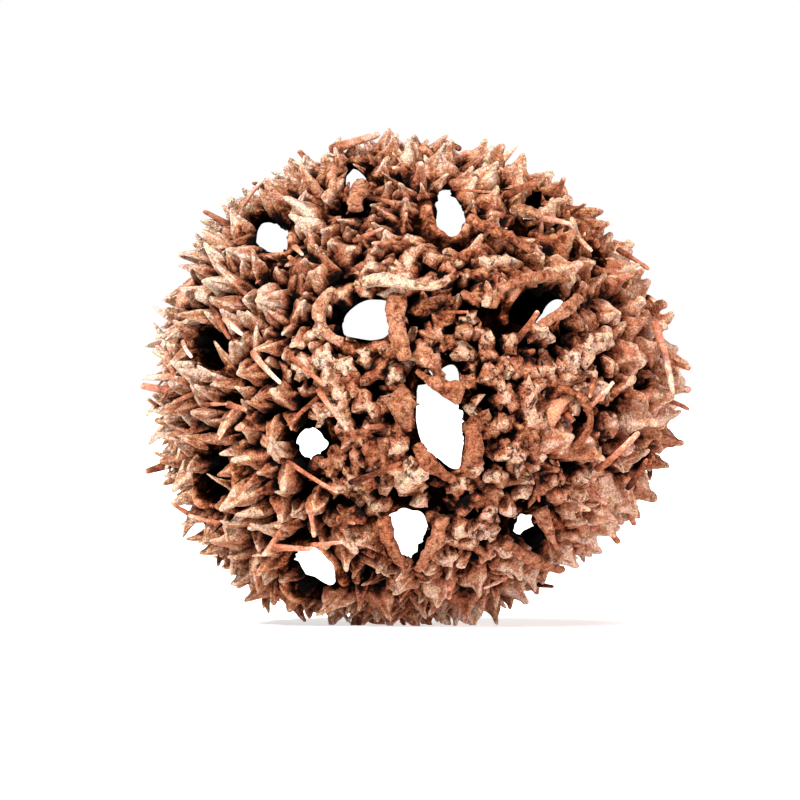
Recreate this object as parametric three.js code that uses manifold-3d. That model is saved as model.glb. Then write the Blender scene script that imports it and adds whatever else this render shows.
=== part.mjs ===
// Sweetgum seed ball: the dry, woody fruit head of a sweetgum tree, grown in one piece.
// Seed capsules are fused into a hollow, nearly round head. Each opens in a lens-shaped mouth,
// and stiff woody scales with a few longer spines cover the walls between the mouths.
// Millimetres, +Z up. The ball stands on its lowest tips, on z = 0, with its middle over the origin.
// The side that is seen first faces -Y.

import * as THREE from 'three';
import { ConvexHull } from 'three/addons/math/ConvexHull.js';
import { mergeVertices } from 'three/addons/utils/BufferGeometryUtils.js';
import Module from 'manifold-3d';

const wasm = await Module();
wasm.setup();

// Driving dimensions: the head is a little wider than it is tall
const STRETCH = new THREE.Vector3(1.02, 1.0, 0.98);
const WALL_INSIDE = 11.85;
const WALL_OUTSIDE = 12.5;
const RIM_RADIUS = 12.9;
const TIP_RADIUS = 14.45;
const SPINE_RADIUS = 15.0;
const CENTRE_HEIGHT = 13.3;

// Corners round each mouth, and points that the inner wall has between the mouths
const MOUTH_CORNERS = 10;
const INSIDE_PLACES = 90;
const INSIDE_MARGIN = 1.6;

// Mouths that face -Y, seen straight on: the middle, half the length, half the width,
// and the turn of the long axis from +X in degrees. A mouth that goes through has its like
// on the far side, in line with it, so that daylight shows.
const FRONT_MOUTHS = [
  { x: -3.0, z: 3.4, long: 2.0, wide: 1.3, turn: 8, through: true },
  { x: 1.0, z: -2.6, long: 2.5, wide: 1.25, turn: 107, through: true },
  { x: -0.7, z: -8.3, long: 1.5, wide: 1.2, turn: 100, through: true },
  { x: -5.4, z: -9.6, long: 1.6, wide: 0.95, turn: 128, through: true },
  { x: -6.0, z: -3.4, long: 1.5, wide: 1.2, turn: 90, through: true },
  { x: -7.9, z: 7.3, long: 1.35, wide: 1.15, turn: 130, through: true },
  { x: 1.6, z: 9.3, long: 1.5, wide: 0.85, turn: 95, through: true },
  { x: -3.7, z: 11.2, long: 0.75, wide: 0.5, turn: 20, through: true },
  { x: 6.6, z: 4.2, long: 1.9, wide: 1.1, turn: 25, through: true },
  { x: 6.2, z: -8.5, long: 1.4, wide: 1.1, turn: 150, through: true },
  { x: -11.2, z: 1.8, long: 1.3, wide: 1.0, turn: 90, through: false },
  { x: -10.7, z: -5.0, long: 1.4, wide: 0.9, turn: 100, through: false },
  { x: 8.2, z: -2.1, long: 1.1, wide: 1.0, turn: 40, through: false },
  { x: 11.7, z: 0.3, long: 0.75, wide: 0.8, turn: 10, through: false },
  { x: 9.6, z: 7.0, long: 0.65, wide: 0.85, turn: 36, through: false },
  { x: 5.9, z: 10.4, long: 0.9, wide: 0.5, turn: 60, through: false },
];
const FAR_MOUTH_SPREAD = 1.03;
const FAR_MOUTH_SIZE = 1.15;
const FREE_SIGHT = 10.0;
const DEEPEST_SIGHT = 11.55;

// Mouths on the rest of the head keep this angle between them, and stay off the resting place
const MOUTH_SPACING = THREE.MathUtils.degToRad(25.5);
const REST_MARGIN = THREE.MathUtils.degToRad(22);
const MOUTH_HALF_LENGTH = 1.95;
const MOUTH_HALF_WIDTH = 1.2;
const MOUTH_CANDIDATES = 700;
const BARE_MARGIN = 0.5;

// Scales: how many places they may grow at, and how they settle apart. A place this deep in
// a mouth is given up, and the others move out to the rim.
const SCALE_PLACES = 520;
const SCALE_SPACING = 2.0;
const RIM_MARGIN = 0.85;
const GIVEN_UP_REACH = 0.6;
const SETTLING_ROUNDS = 10;
const NUDGE = 0.35;

// The form of a scale: corners round its belly, which stand this near the tip's direction
// when the surface is joined up, and how far the belly follows the lean of the tip
const BELLY_CORNERS = 5;
const NARROW_BELLY = 0.45;
const BELLY_LEAN = 0.2;

// Spines that the rule spreads over the head, all rooted at one radius in the wall
const SPINE_COUNT = 26;
const SPINE_THICKNESS = 0.5;
const SPINE_ROOT = 12.1;
const SPINE_BOW = 0.25;

// Spines and broken twigs that stand out on the side facing -Y: root and tip as seen,
// the radius that the tip lies at, and the thickness
const FRONT_SPINES = [
  { root: [-2.5, 5.3], tip: [1.6, 5.55], reach: 14.3, thick: 0.62 },
  { root: [2.4, 8.6], tip: [6.1, 7.0], reach: 14.0, thick: 0.8 },
  { root: [-1.9, 10.5], tip: [1.1, 10.3], reach: 14.1, thick: 0.45 },
  { root: [-4.9, 12.6], tip: [-2.2, 13.6], reach: 14.2, thick: 0.5 },
  { root: [-7.1, 1.5], tip: [-5.1, -0.2], reach: 14.4, thick: 0.5 },
  { root: [-5.5, -0.4], tip: [-3.9, -2.6], reach: 14.4, thick: 0.5 },
  { root: [-7.1, -4.2], tip: [-4.4, -5.9], reach: 14.4, thick: 0.5 },
  { root: [-3.8, -5.4], tip: [-1.0, -4.3], reach: 14.3, thick: 0.5 },
  { root: [-7.9, -8.6], tip: [-5.7, -8.8], reach: 14.2, thick: 0.5 },
  { root: [9.5, -4.8], tip: [11.8, -2.7], reach: 14.6, thick: 0.5 },
  { root: [13.0, 3.4], tip: [13.8, -0.7], reach: 14.4, thick: 0.5 },
  { root: [7.4, 9.7], tip: [8.2, 11.6], reach: 14.9, thick: 0.5 },
  { root: [12.6, 0.9], tip: [15.0, 0.8], reach: 14.75, thick: 0.5 },
  { root: [-12.6, 0.3], tip: [-15.0, 0.2], reach: 14.75, thick: 0.5 },
];

// What each random draw is for
const DRAW = {
  mouthTurn: 1,
  mouthLength: 2,
  mouthWidth: 3,
  scaleWidth: 11,
  scaleTip: 12,
  scaleTurn: 13,
  scaleLean: 14,
  scaleBelly: 16,
  bellyCorner: 20,
  spineTurn: 31,
  spineTip: 32,
  spineLean: 33,
};

// The same number between 0 and 1 each time for a place and a purpose
function chance(place, purpose) {
  const value = Math.sin(place * 12.9898 + purpose * 78.233) * 43758.5453;
  return value - Math.floor(value);
}

// A number between low and high for a place and a purpose
function pick(place, purpose, low, high) {
  return low + (high - low) * chance(place, purpose);
}

// Directions spread evenly over a ball, along a spiral from top to bottom
function spiral(count) {
  const goldenAngle = Math.PI * (3 - Math.sqrt(5));
  return Array.from({ length: count }, (_, index) => {
    const z = 1 - (2 * index + 1) / count;
    const across = Math.sqrt(1 - z * z);
    const turn = index * goldenAngle;
    return new THREE.Vector3(across * Math.cos(turn), across * Math.sin(turn), z);
  });
}

// A solid from a closed geometry whose triangles share their corners
function solid(geometry) {
  geometry.deleteAttribute('normal');
  geometry.deleteAttribute('uv');
  const merged = mergeVertices(geometry, 1e-5);
  return new wasm.Manifold(new wasm.Mesh({
    numProp: 3,
    vertProperties: new Float32Array(merged.attributes.position.array),
    triVerts: new Uint32Array(merged.index.array),
  }));
}

// A geometry whose rings of points are joined from root to tip, closed at both ends
function loft(rings) {
  const sides = rings[0].length;
  const corners = rings.flat();
  const triangles = [];
  for (let ring = 0; ring < rings.length - 1; ring += 1) {
    for (let side = 0; side < sides; side += 1) {
      const a = ring * sides + side;
      const b = ring * sides + (side + 1) % sides;
      triangles.push(a, b, b + sides, a, b + sides, a + sides);
    }
  }
  const last = (rings.length - 1) * sides;
  for (let side = 1; side < sides - 1; side += 1) {
    triangles.push(0, side + 1, side);
    triangles.push(last, last + side, last + side + 1);
  }
  const geometry = new THREE.BufferGeometry().setFromPoints(corners);
  geometry.setIndex(triangles);
  return geometry;
}

// Two directions square to an axis and to each other, turned about it
function crossways(axis, turn) {
  const helper = Math.abs(axis.z) < 0.9 ? new THREE.Vector3(0, 0, 1) : new THREE.Vector3(1, 0, 0);
  const along = new THREE.Vector3().crossVectors(helper, axis).normalize();
  along.applyAxisAngle(axis, turn);
  return { along, aside: new THREE.Vector3().crossVectors(axis, along) };
}

// A mouth is a lens on the ball: its axis points out, and two half sizes lie square to the axis.
// A front mouth is given as it looks from -Y, so its sizes are drawn out where the ball turns away.
function frontMouth({ x, z, long, wide, turn, through }) {
  const right = x / STRETCH.x;
  const up = z / STRETCH.z;
  const axis = new THREE.Vector3(right, -Math.sqrt(RIM_RADIUS ** 2 - right ** 2 - up ** 2), up);
  axis.normalize();
  const angle = THREE.MathUtils.degToRad(turn);
  const laidOn = (across, rise) => (
    new THREE.Vector3(across, -(axis.x * across + axis.z * rise) / axis.y, rise)
  );
  return {
    axis,
    along: laidOn(long * Math.cos(angle), long * Math.sin(angle)),
    aside: laidOn(-wide * Math.sin(angle), wide * Math.cos(angle)),
    through,
  };
}

// The mouth on the far side that stands in line with a front mouth
function farMouth(front) {
  const near = frontMouth({
    ...front,
    x: front.x * FAR_MOUTH_SPREAD,
    z: front.z * FAR_MOUTH_SPREAD,
    long: front.long * FAR_MOUTH_SIZE,
    wide: front.wide * FAR_MOUTH_SIZE,
  });
  const mirrored = ({ x: right, y: deep, z: up }) => new THREE.Vector3(right, -deep, up);
  return {
    axis: mirrored(near.axis),
    along: mirrored(near.along),
    aside: mirrored(near.aside).negate(),
    through: true,
  };
}

// Mouths for the rest of the head, one at a time in the widest space that is left
function furtherMouths(known) {
  const candidates = spiral(MOUTH_CANDIDATES);
  const taken = known.map(({ axis }) => axis);
  const down = new THREE.Vector3(0, 0, -1);
  const added = [];
  for (;;) {
    const room = candidates.map((place) => Math.min(
      place.angleTo(down) - REST_MARGIN + MOUTH_SPACING,
      ...taken.map((other) => place.angleTo(other)),
    ));
    const widest = room.indexOf(Math.max(...room));
    if (room[widest] < MOUTH_SPACING) {
      return added;
    }
    const axis = candidates[widest];
    const { along, aside } = crossways(axis, pick(widest, DRAW.mouthTurn, 0, Math.PI));
    taken.push(axis);
    added.push({
      axis,
      along: along.multiplyScalar(MOUTH_HALF_LENGTH * pick(widest, DRAW.mouthLength, 0.85, 1.15)),
      aside: aside.multiplyScalar(MOUTH_HALF_WIDTH * pick(widest, DRAW.mouthWidth, 0.85, 1.15)),
    });
  }
}

// Where a direction meets the flat that touches the ball at a mouth's middle, from that middle
function acrossMouth(direction, mouth) {
  const depth = direction.dot(mouth.axis);
  return direction.clone().divideScalar(depth).sub(mouth.axis).multiplyScalar(RIM_RADIUS);
}

// How far a direction lies from the middle of a mouth: 1 on a rim that is widened by a margin
function mouthReach(direction, mouth, margin) {
  if (direction.dot(mouth.axis) <= 0.3) {
    return Infinity;
  }
  const { axis, along, aside } = mouth;
  const offset = acrossMouth(direction, mouth);
  const area = along.clone().cross(aside).dot(axis);
  const alongShare = offset.clone().cross(aside).dot(axis) / area;
  const asideShare = along.clone().cross(offset).dot(axis) / area;
  const longSize = along.length();
  const wideSize = aside.length();
  return Math.hypot(
    (alongShare * longSize) / (longSize + margin),
    (asideShare * wideSize) / (wideSize + margin),
  );
}

// Moves a direction that falls in a mouth outwards, onto the mouth's rim
function ontoRim(direction, mouth) {
  const reach = mouthReach(direction, mouth, RIM_MARGIN);
  if (reach < 1) {
    const offset = acrossMouth(direction, mouth).divideScalar(Math.max(reach, 0.05));
    direction.copy(mouth.axis).multiplyScalar(RIM_RADIUS).add(offset).normalize();
  }
}

// Directions where scales grow: spread evenly, then nudged apart and out of the mouths
function scalePlaces(mouths) {
  const closest = SCALE_SPACING / WALL_OUTSIDE;
  const places = spiral(SCALE_PLACES).filter((place) => (
    mouths.every((mouth) => mouthReach(place, mouth, RIM_MARGIN) > GIVEN_UP_REACH)
  ));
  for (let round = 0; round < SETTLING_ROUNDS; round += 1) {
    const pushes = places.map((place) => {
      const push = new THREE.Vector3();
      for (const other of places) {
        const gap = place.distanceTo(other);
        if (gap > 0 && gap < closest) {
          const away = place.clone().sub(other).divideScalar(gap);
          push.addScaledVector(away, NUDGE * (closest - gap));
        }
      }
      return push;
    });
    places.forEach((place, index) => {
      place.add(pushes[index]).normalize();
      mouths.forEach((mouth) => ontoRim(place, mouth));
    });
  }
  return places;
}

// How the scale at a place grows: its height, its breadth, and the way that it leans.
// On the left of the head scales are slender fingers, and on the right broad thorns.
function scaleGrowth(direction, place, room) {
  const slender = THREE.MathUtils.clamp(-direction.x * 1.4, 0, 1);
  const tip = TIP_RADIUS - pick(place, DRAW.scaleTip, 0, 0.75) + 0.2 * slender;
  return {
    direction,
    tip,
    belly: WALL_OUTSIDE + (tip - WALL_OUTSIDE) * pick(place, DRAW.scaleBelly, 0.42, 0.62),
    halfWidth: room * pick(place, DRAW.scaleWidth, 0.35, 0.41) * (1 - 0.12 * slender),
    lean: pick(place, DRAW.scaleLean, 0.1, 0.6),
    ...crossways(direction, pick(place, DRAW.scaleTurn, 0, 2 * Math.PI)),
  };
}

// The points of one scale: the tip, and corners round the belly. Each has a direction,
// by which the surface is joined up, and the position that it is then raised to.
function scalePoints(growth, place) {
  const { direction, along, aside, lean } = growth;
  const points = [{
    direction,
    position: direction.clone().multiplyScalar(growth.tip).addScaledVector(along, lean),
  }];
  for (let corner = 0; corner < BELLY_CORNERS; corner += 1) {
    const turn = (2 * Math.PI * corner) / BELLY_CORNERS;
    const outward = along.clone().multiplyScalar(Math.cos(turn)).addScaledVector(aside, Math.sin(turn));
    const halfWidth = growth.halfWidth * pick(place, DRAW.bellyCorner + corner, 0.9, 1.08);
    points.push({
      direction: direction.clone().addScaledVector(outward, NARROW_BELLY / WALL_OUTSIDE).normalize(),
      position: direction.clone().multiplyScalar(growth.belly)
        .addScaledVector(outward, halfWidth).addScaledVector(along, BELLY_LEAN * lean),
    });
  }
  return points;
}

// The triangles that join directions over the whole ball, as a hull round them
function joined(directions) {
  const number = new Map(directions.map((direction, index) => [direction, index]));
  const hull = new ConvexHull().setFromPoints(directions);
  return hull.faces.map(({ edge }) => (
    [edge.head(), edge.next.head(), edge.next.next.head()].map((vertex) => number.get(vertex.point))
  ));
}

// A point of a surface in a direction, at a radius
function surfacePoint(direction, radius) {
  return { direction, position: direction.clone().multiplyScalar(radius) };
}

// True where a direction is clear of every mouth by a margin
function isClear(direction, mouths, margin) {
  return mouths.every((mouth) => mouthReach(direction, mouth, margin) > 1);
}

// The low points halfway between each scale and its neighbours, where the wall shows
function valleyPoints(places, mouths) {
  const middles = new Map();
  for (const triangle of joined(places)) {
    triangle.forEach((from, corner) => {
      const to = triangle[(corner + 1) % 3];
      const pair = `${Math.min(from, to)} ${Math.max(from, to)}`;
      middles.set(pair, places[from].clone().add(places[to]).normalize());
    });
  }
  return [...middles.values()]
    .filter((middle) => isClear(middle, mouths, BARE_MARGIN))
    .map((middle) => surfacePoint(middle, WALL_OUTSIDE));
}

// The directions of the corners round a mouth, the tips of the lens first
function rimDirections(mouth) {
  return Array.from({ length: MOUTH_CORNERS }, (_, corner) => {
    const turn = (2 * Math.PI * corner) / MOUTH_CORNERS;
    const side = Math.sin(turn) * Math.abs(Math.sin(turn)) ** 0.3;
    return mouth.axis.clone().multiplyScalar(RIM_RADIUS)
      .addScaledVector(mouth.along, Math.cos(turn))
      .addScaledVector(mouth.aside, side)
      .normalize();
  });
}

// Where a mouth that goes through meets the inner wall: straight behind its outer rim as seen,
// which leaves the line of sight along Y free, and drawn in a little where the ball turns away
function behind(direction) {
  const seen = new THREE.Vector2(direction.x, direction.z).multiplyScalar(RIM_RADIUS);
  const beyond = Math.max(seen.length() - FREE_SIGHT, 0);
  const room = DEEPEST_SIGHT - FREE_SIGHT;
  seen.setLength(Math.min(seen.length(), FREE_SIGHT) + room * (1 - Math.exp(-beyond / room)));
  const depth = Math.sqrt(WALL_INSIDE ** 2 - seen.lengthSq());
  return new THREE.Vector3(seen.x, Math.sign(direction.y) * depth, seen.y).normalize();
}

// The rim of a mouth outside, and the rim inside
function outerRim(mouth) {
  return rimDirections(mouth).map((place) => ({ ...surfacePoint(place, RIM_RADIUS), mouth }));
}

function innerRim(mouth) {
  return rimDirections(mouth)
    .map((place) => (mouth.through ? behind(place) : place))
    .map((place) => ({ ...surfacePoint(place, WALL_INSIDE), mouth }));
}

// The triangles of a surface, without those that would close a mouth
function openSurface(points) {
  const isLid = (triangle) => {
    const [a, b, c] = triangle.map((index) => points[index].mouth);
    return a !== undefined && a === b && b === c;
  };
  return joined(points.map(({ direction }) => direction)).filter((triangle) => !isLid(triangle));
}

// The walls of the mouths, between the rims of the outer and the inner surface
function throatTriangles(mouthCount, firstOuter, firstInner) {
  const triangles = [];
  for (let mouth = 0; mouth < mouthCount; mouth += 1) {
    for (let corner = 0; corner < MOUTH_CORNERS; corner += 1) {
      const here = mouth * MOUTH_CORNERS + corner;
      const next = mouth * MOUTH_CORNERS + (corner + 1) % MOUTH_CORNERS;
      triangles.push([firstOuter + here, firstOuter + next, firstInner + next]);
      triangles.push([firstOuter + here, firstInner + next, firstInner + here]);
    }
  }
  return triangles;
}

// The hollow wall of the head as one closed surface: scales and rims outside, smooth inside
function scalyWall(places, mouths) {
  const growths = places.map((direction, place) => {
    const gaps = places.map((other) => (other === direction ? Infinity : other.distanceTo(direction)));
    return scaleGrowth(direction, place, Math.min(...gaps) * WALL_OUTSIDE);
  });
  const outer = [
    ...mouths.flatMap(outerRim),
    ...growths.flatMap(scalePoints),
    ...valleyPoints(places, mouths),
  ];
  const inner = [
    ...mouths.flatMap(innerRim),
    ...spiral(INSIDE_PLACES).filter((place) => isClear(place, mouths, INSIDE_MARGIN))
      .map((place) => surfacePoint(place, WALL_INSIDE)),
  ];
  const inward = openSurface(inner).map(([a, b, c]) => [c, b, a].map((index) => index + outer.length));
  const triangles = [
    ...openSurface(outer),
    ...inward,
    ...throatTriangles(mouths.length, 0, outer.length),
  ];
  const geometry = new THREE.BufferGeometry();
  geometry.setFromPoints([...outer, ...inner].map(({ position }) => position));
  geometry.setIndex(triangles.flat());
  return solid(geometry);
}

// One spine: a thin four-sided rod from root to tip with a slight bow outwards
function spineSolid(root, tip, thickness) {
  const rodSides = 4;
  const axis = tip.clone().sub(root).normalize();
  const { along, aside } = crossways(axis, Math.PI / 5);
  const bow = root.clone().add(tip).normalize().multiplyScalar(SPINE_BOW);
  const ring = (share, size, lift) => Array.from({ length: rodSides }, (_, side) => {
    const turn = (2 * Math.PI * side) / rodSides;
    return root.clone().lerp(tip, share).addScaledVector(bow, lift)
      .addScaledVector(along, size * Math.cos(turn))
      .addScaledVector(aside, size * Math.sin(turn));
  });
  const half = thickness / 2;
  return solid(loft([ring(0, half * 1.3, 0), ring(0.55, half * 1.1, 1), ring(1, half * 0.7, 0)]));
}

// A point on the side facing -Y, from its place as seen and its radius
function onFront([x, z], radius) {
  const right = x / STRETCH.x;
  const up = z / STRETCH.z;
  const depth = Math.sqrt(Math.max(radius ** 2 - right ** 2 - up ** 2, 0));
  return new THREE.Vector3(right, -depth, up);
}

// The spines that stand out on the side facing -Y, each rooted down in the wall
function frontSpines() {
  return FRONT_SPINES.map(({ root, tip, reach, thick }) => {
    const foot = onFront(root, SPINE_ROOT).clampLength(0, SPINE_ROOT);
    return spineSolid(foot, onFront(tip, reach), thick);
  });
}

// Spines spread evenly over the rest of the head, leaning at random
function spreadSpines(mouths) {
  return spiral(SPINE_COUNT).map((direction, index) => {
    mouths.forEach((mouth) => ontoRim(direction, mouth));
    const { along } = crossways(direction, pick(index, DRAW.spineTurn, 0, 2 * Math.PI));
    const reach = SPINE_RADIUS - pick(index, DRAW.spineTip, 0, 0.3);
    const tip = direction.clone().multiplyScalar(reach);
    tip.addScaledVector(along, pick(index, DRAW.spineLean, 0.4, 1.6));
    const root = direction.clone().multiplyScalar(SPINE_ROOT);
    return spineSolid(root, tip.clampLength(0, SPINE_RADIUS), SPINE_THICKNESS);
  });
}

// Keeps the largest body and drops loose scraps
function largest(body) {
  const bodies = body.decompose();
  return bodies.reduce((best, next) => (next.volume() > best.volume() ? next : best));
}

// The whole head, cut level where it rests
function seedBall() {
  const seen = FRONT_MOUTHS.map(frontMouth);
  const far = FRONT_MOUTHS.filter(({ through }) => through).map(farMouth);
  const mouths = [...seen, ...far];
  mouths.push(...furtherMouths(mouths));
  const places = scalePlaces(mouths);
  const wall = scalyWall(places, mouths);
  const spines = [...frontSpines(), ...spreadSpines(mouths)];
  const head = wall.add(wasm.Manifold.union(spines));
  const floorSize = 4 * TIP_RADIUS;
  const ground = new THREE.BoxGeometry(floorSize, floorSize, floorSize);
  ground.translate(0, 0, -CENTRE_HEIGHT / STRETCH.z - floorSize / 2);
  return largest(head.subtract(solid(ground)));
}

// A mesh from a solid, in the row's frame
function toMesh(body, name, material) {
  const { vertProperties, triVerts } = body.getMesh();
  const geometry = new THREE.BufferGeometry();
  geometry.setAttribute('position', new THREE.BufferAttribute(vertProperties, 3));
  geometry.setIndex(new THREE.BufferAttribute(triVerts, 1));
  geometry.scale(STRETCH.x, STRETCH.y, STRETCH.z);
  geometry.translate(0, 0, CENTRE_HEIGHT);
  geometry.computeVertexNormals();
  const mesh = new THREE.Mesh(geometry, material);
  mesh.name = name;
  return mesh;
}

const dryWood = new THREE.MeshStandardMaterial({ color: 0xa8694b, roughness: 0.85, metalness: 0 });
const part = new THREE.Group();
part.add(toMesh(seedBall(), 'seed_ball', dryWood));

export default part;
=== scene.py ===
# %% [markdown]
# # A sweetgum seed ball
# A sweetgum tree bears its seeds in hard, woody balls. Forty or so capsules grow fused into one
# hollow head, each with a lens-shaped mouth, and stiff scales with spiny tips stand close
# together on the walls between the mouths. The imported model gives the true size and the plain
# form. Here the same form is grown again, finer, as surfaces worked out with numpy: first the
# capsules, then the scales, then the spines and the odd pieces, and last the light.

# %% Load the frame
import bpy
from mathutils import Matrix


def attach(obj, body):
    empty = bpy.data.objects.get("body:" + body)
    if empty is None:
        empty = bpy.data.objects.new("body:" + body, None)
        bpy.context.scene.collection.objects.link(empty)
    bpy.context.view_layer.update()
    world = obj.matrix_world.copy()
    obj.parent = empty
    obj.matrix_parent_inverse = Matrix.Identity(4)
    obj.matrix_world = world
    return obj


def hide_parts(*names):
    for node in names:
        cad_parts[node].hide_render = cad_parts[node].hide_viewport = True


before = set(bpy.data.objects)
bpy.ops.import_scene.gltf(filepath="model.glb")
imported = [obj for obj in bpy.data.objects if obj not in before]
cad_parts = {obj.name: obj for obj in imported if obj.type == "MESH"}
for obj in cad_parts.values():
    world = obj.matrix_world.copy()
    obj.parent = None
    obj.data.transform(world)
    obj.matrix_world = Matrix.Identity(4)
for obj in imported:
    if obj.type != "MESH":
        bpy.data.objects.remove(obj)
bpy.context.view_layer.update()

import math
from functools import partial

import bpy
import numpy as np

MM = 0.001


# %% [markdown]
# ## The camera
# The picture is taken level with the ball through a long lens. One pixel of the 800 pixel wide
# picture is 0.0548 mm at the ball, and the ball sits a little right of the middle and above it.
# A long lens keeps the sight lines nearly side by side, so that a mouth at the front and one at
# the back line up and daylight shows through both.

# %% Camera
PICTURE_PIXELS = 800
PIXEL_MM = 0.0548
BALL_PIXEL = (420.0, 382.0)
CAMERA_DISTANCE = 500.0
SENSOR = 36.0
CENTRE_HEIGHT = 13.3

frame_width = PICTURE_PIXELS * PIXEL_MM
aim_x = (PICTURE_PIXELS / 2 - BALL_PIXEL[0]) * PIXEL_MM
aim_z = CENTRE_HEIGHT + (BALL_PIXEL[1] - PICTURE_PIXELS / 2) * PIXEL_MM

camera = bpy.data.objects.new("camera", bpy.data.cameras.new("camera"))
bpy.context.scene.collection.objects.link(camera)
camera.location = (aim_x * MM, -CAMERA_DISTANCE * MM, aim_z * MM)
camera.rotation_euler = (math.radians(90), 0, 0)
camera.data.sensor_width = SENSOR
camera.data.lens = SENSOR * CAMERA_DISTANCE / frame_width
camera.data.clip_start = 0.01
camera.data.clip_end = 50
bpy.context.scene.camera = camera
print("lens, mm:", round(camera.data.lens, 1))

# %% [markdown]
# ## Chance that repeats
# Growth looks random, but the ball has to come out the same each time. A number for each place
# and purpose is taken from the far digits of a sine, and each draw below has a purpose number of
# its own. The plain model draws by the same rule, so the larger scales here grow about where its
# scales grow. Rods have no place of their own, so a seeded generator roughens them.

# %% Chance
def chance(place, purpose):
    """A number from 0 to 1 for each place: the digits after the point of a large sine."""
    value = np.sin(np.asarray(place) * 12.9898 + purpose * 78.233) * 43758.5453
    return value - np.floor(value)


def pick(place, purpose, low, high):
    """A number from low to high for each place and purpose."""
    return low + (high - low) * chance(place, purpose)


def spiral(count):
    """Directions spread evenly over a ball: equal steps of height, turned by the golden angle."""
    index = np.arange(count)
    z = 1 - (2 * index + 1) / count
    across = np.sqrt(1 - z * z)
    turn = index * math.pi * (3 - math.sqrt(5))
    return np.stack([across * np.cos(turn), across * np.sin(turn), z], axis=1)


def unit(vectors):
    """Each vector divided by its length."""
    return vectors / np.linalg.norm(vectors, axis=-1, keepdims=True)


def crossways(axes, turn):
    """Two directions square to each axis and to each other, turned about it by an angle."""
    upright = np.abs(axes[..., 2:3]) < 0.9
    helper = np.where(upright, [0.0, 0.0, 1.0], [1.0, 0.0, 0.0])
    flat = unit(np.cross(helper, axes))
    square = np.cross(axes, flat)
    turn = np.asarray(turn)[..., None]
    along = flat * np.cos(turn) + square * np.sin(turn)
    return along, np.cross(axes, along)


LATTICE_PLACE = np.array([1.0, 57.0, 113.0])  # makes one place of a lattice corner's three counts


def lumps(points, size):
    """Smooth noise from -0.5 to 0.5: a chance value on each corner of a lattice of cells of this
    size, blended across the cell."""
    cell = points / size
    base = np.floor(cell)
    share = cell - base
    share = share * share * (3 - 2 * share)
    total = np.zeros(points.shape[:-1])
    for corner in np.ndindex(2, 2, 2):
        value = chance((base + corner) @ LATTICE_PLACE, 71)
        weight = np.where(corner, share, 1 - share).prod(axis=-1)
        total += value * weight
    return total - 0.5


rough = np.random.default_rng(seed=20)

# %% [markdown]
# ## Not quite a ball
# Seen from the front, the head is a little fuller at the lower left and flatter at the upper
# right. Four waves round its outline give this shape. They fade towards the middle of the
# picture, so the mouths there stay where they are, and round the part that the head rests on.

# %% Shape of the head
STRETCH = np.array([1.02, 1.0, 0.98])
# The waves: how many go round, how high they are as a share of the radius, phase in degrees
OUTLINE_WAVES = [(1, 0.043, -164), (2, 0.014, 68), (3, 0.027, -19), (4, 0.011, -81)]
LEVEL_PART = 0.15  # the share of the radius, from the lowest point up, where the waves fade in


def shape(points):
    """What each point round the ball's middle is multiplied by, along x, y and z, to lie on the
    head: the three sides' stretch, times one and the waves, which grow with the fourth power of
    the distance from the sight line."""
    across, up = points[..., 0], points[..., 2]
    length = np.linalg.norm(points, axis=-1)
    turn = np.arctan2(up, across)
    wave = sum(size * np.cos(count * turn - math.radians(phase))
               for count, size, phase in OUTLINE_WAVES)
    share = (np.hypot(across, up) / length) ** 4 * np.clip((up / length + 1) / LEVEL_PART, 0, 1)
    return STRETCH * (1 + wave * share)[..., None]


compass = np.array([[1.0, 0, 0], [0, 0, 1.0], [-1.0, 0, 0], [0, 0, -1.0]])
stretched = np.linalg.norm(compass * shape(compass), axis=1)
print("right, top, left and bottom, as shares of the radius:", np.round(stretched, 3))

# %% [markdown]
# ## Where the mouths are
# The mouths on the near side are listed where the fruit has them, as they look from the front:
# the middle, half the length, half the width and the turn. Eleven have a mouth in line with them
# at the back. The rest of the head is filled by a rule that puts the next mouth in the widest
# space left, as capsules do when they press against each other while they grow.

# %% Mouths
WALL_INSIDE = 11.85
WALL_OUTSIDE = 12.5
RIM_RADIUS = 12.9
TIP_RADIUS = 14.45
SPINE_RADIUS = 15.0
FAR_MOUTH_SPREAD = 1.03  # what is further away looks smaller, so it has to lie further out
MOUTH_SPACING = math.radians(25.5)
REST_MARGIN = math.radians(22)
MOUTH_CANDIDATES = 700
HALF_LENGTH = 1.95
HALF_WIDTH = 1.2
# Each mouth: x, z, half length, half width and turn in degrees, all as seen, and for one with a
# mouth in line behind it, that one's shift in x and z and its size as a share of this one's
FRONT_MOUTHS = [
    (-3.0, 3.4, 2.0, 1.3, 8, (0.5, 0.0, 0.86)),
    (1.05, -2.0, 3.0, 1.25, 99, (0.1, 0.0, 1.08)),
    (-0.7, -8.3, 1.5, 1.2, 100, (0.0, 0.1, 1.0)),
    (-5.6, -10.1, 1.6, 1.0, 125, (0.1, -0.3, 1.1)),
    (-6.0, -3.4, 1.5, 1.2, 90, (0.1, 0.1, 0.62)),
    (-8.3, 8.1, 1.35, 1.1, 130, (0.0, 0.1, 1.0)),
    (1.6, 9.3, 1.5, 0.85, 95, (0.0, 0.1, 1.15)),
    (-3.6, 10.8, 1.1, 0.7, 100, (0.0, 0.1, 1.0)),
    (6.6, 4.2, 1.9, 1.1, 25, (0.6, -0.6, 0.45)),
    (6.2, -8.5, 1.4, 1.1, 150, (-0.5, 0.7, 0.62)),
    (-11.2, 1.8, 1.3, 1.0, 90, None),
    (-10.7, -5.0, 1.4, 0.9, 100, None),
    (8.2, -2.1, 1.1, 1.0, 40, None),
    (11.7, 0.3, 0.75, 0.8, 10, None),
    (9.6, 7.0, 0.65, 0.85, 36, None),
    (6.1, 9.7, 1.0, 0.6, 70, (0.0, 0.1, 1.0)),
]


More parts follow.
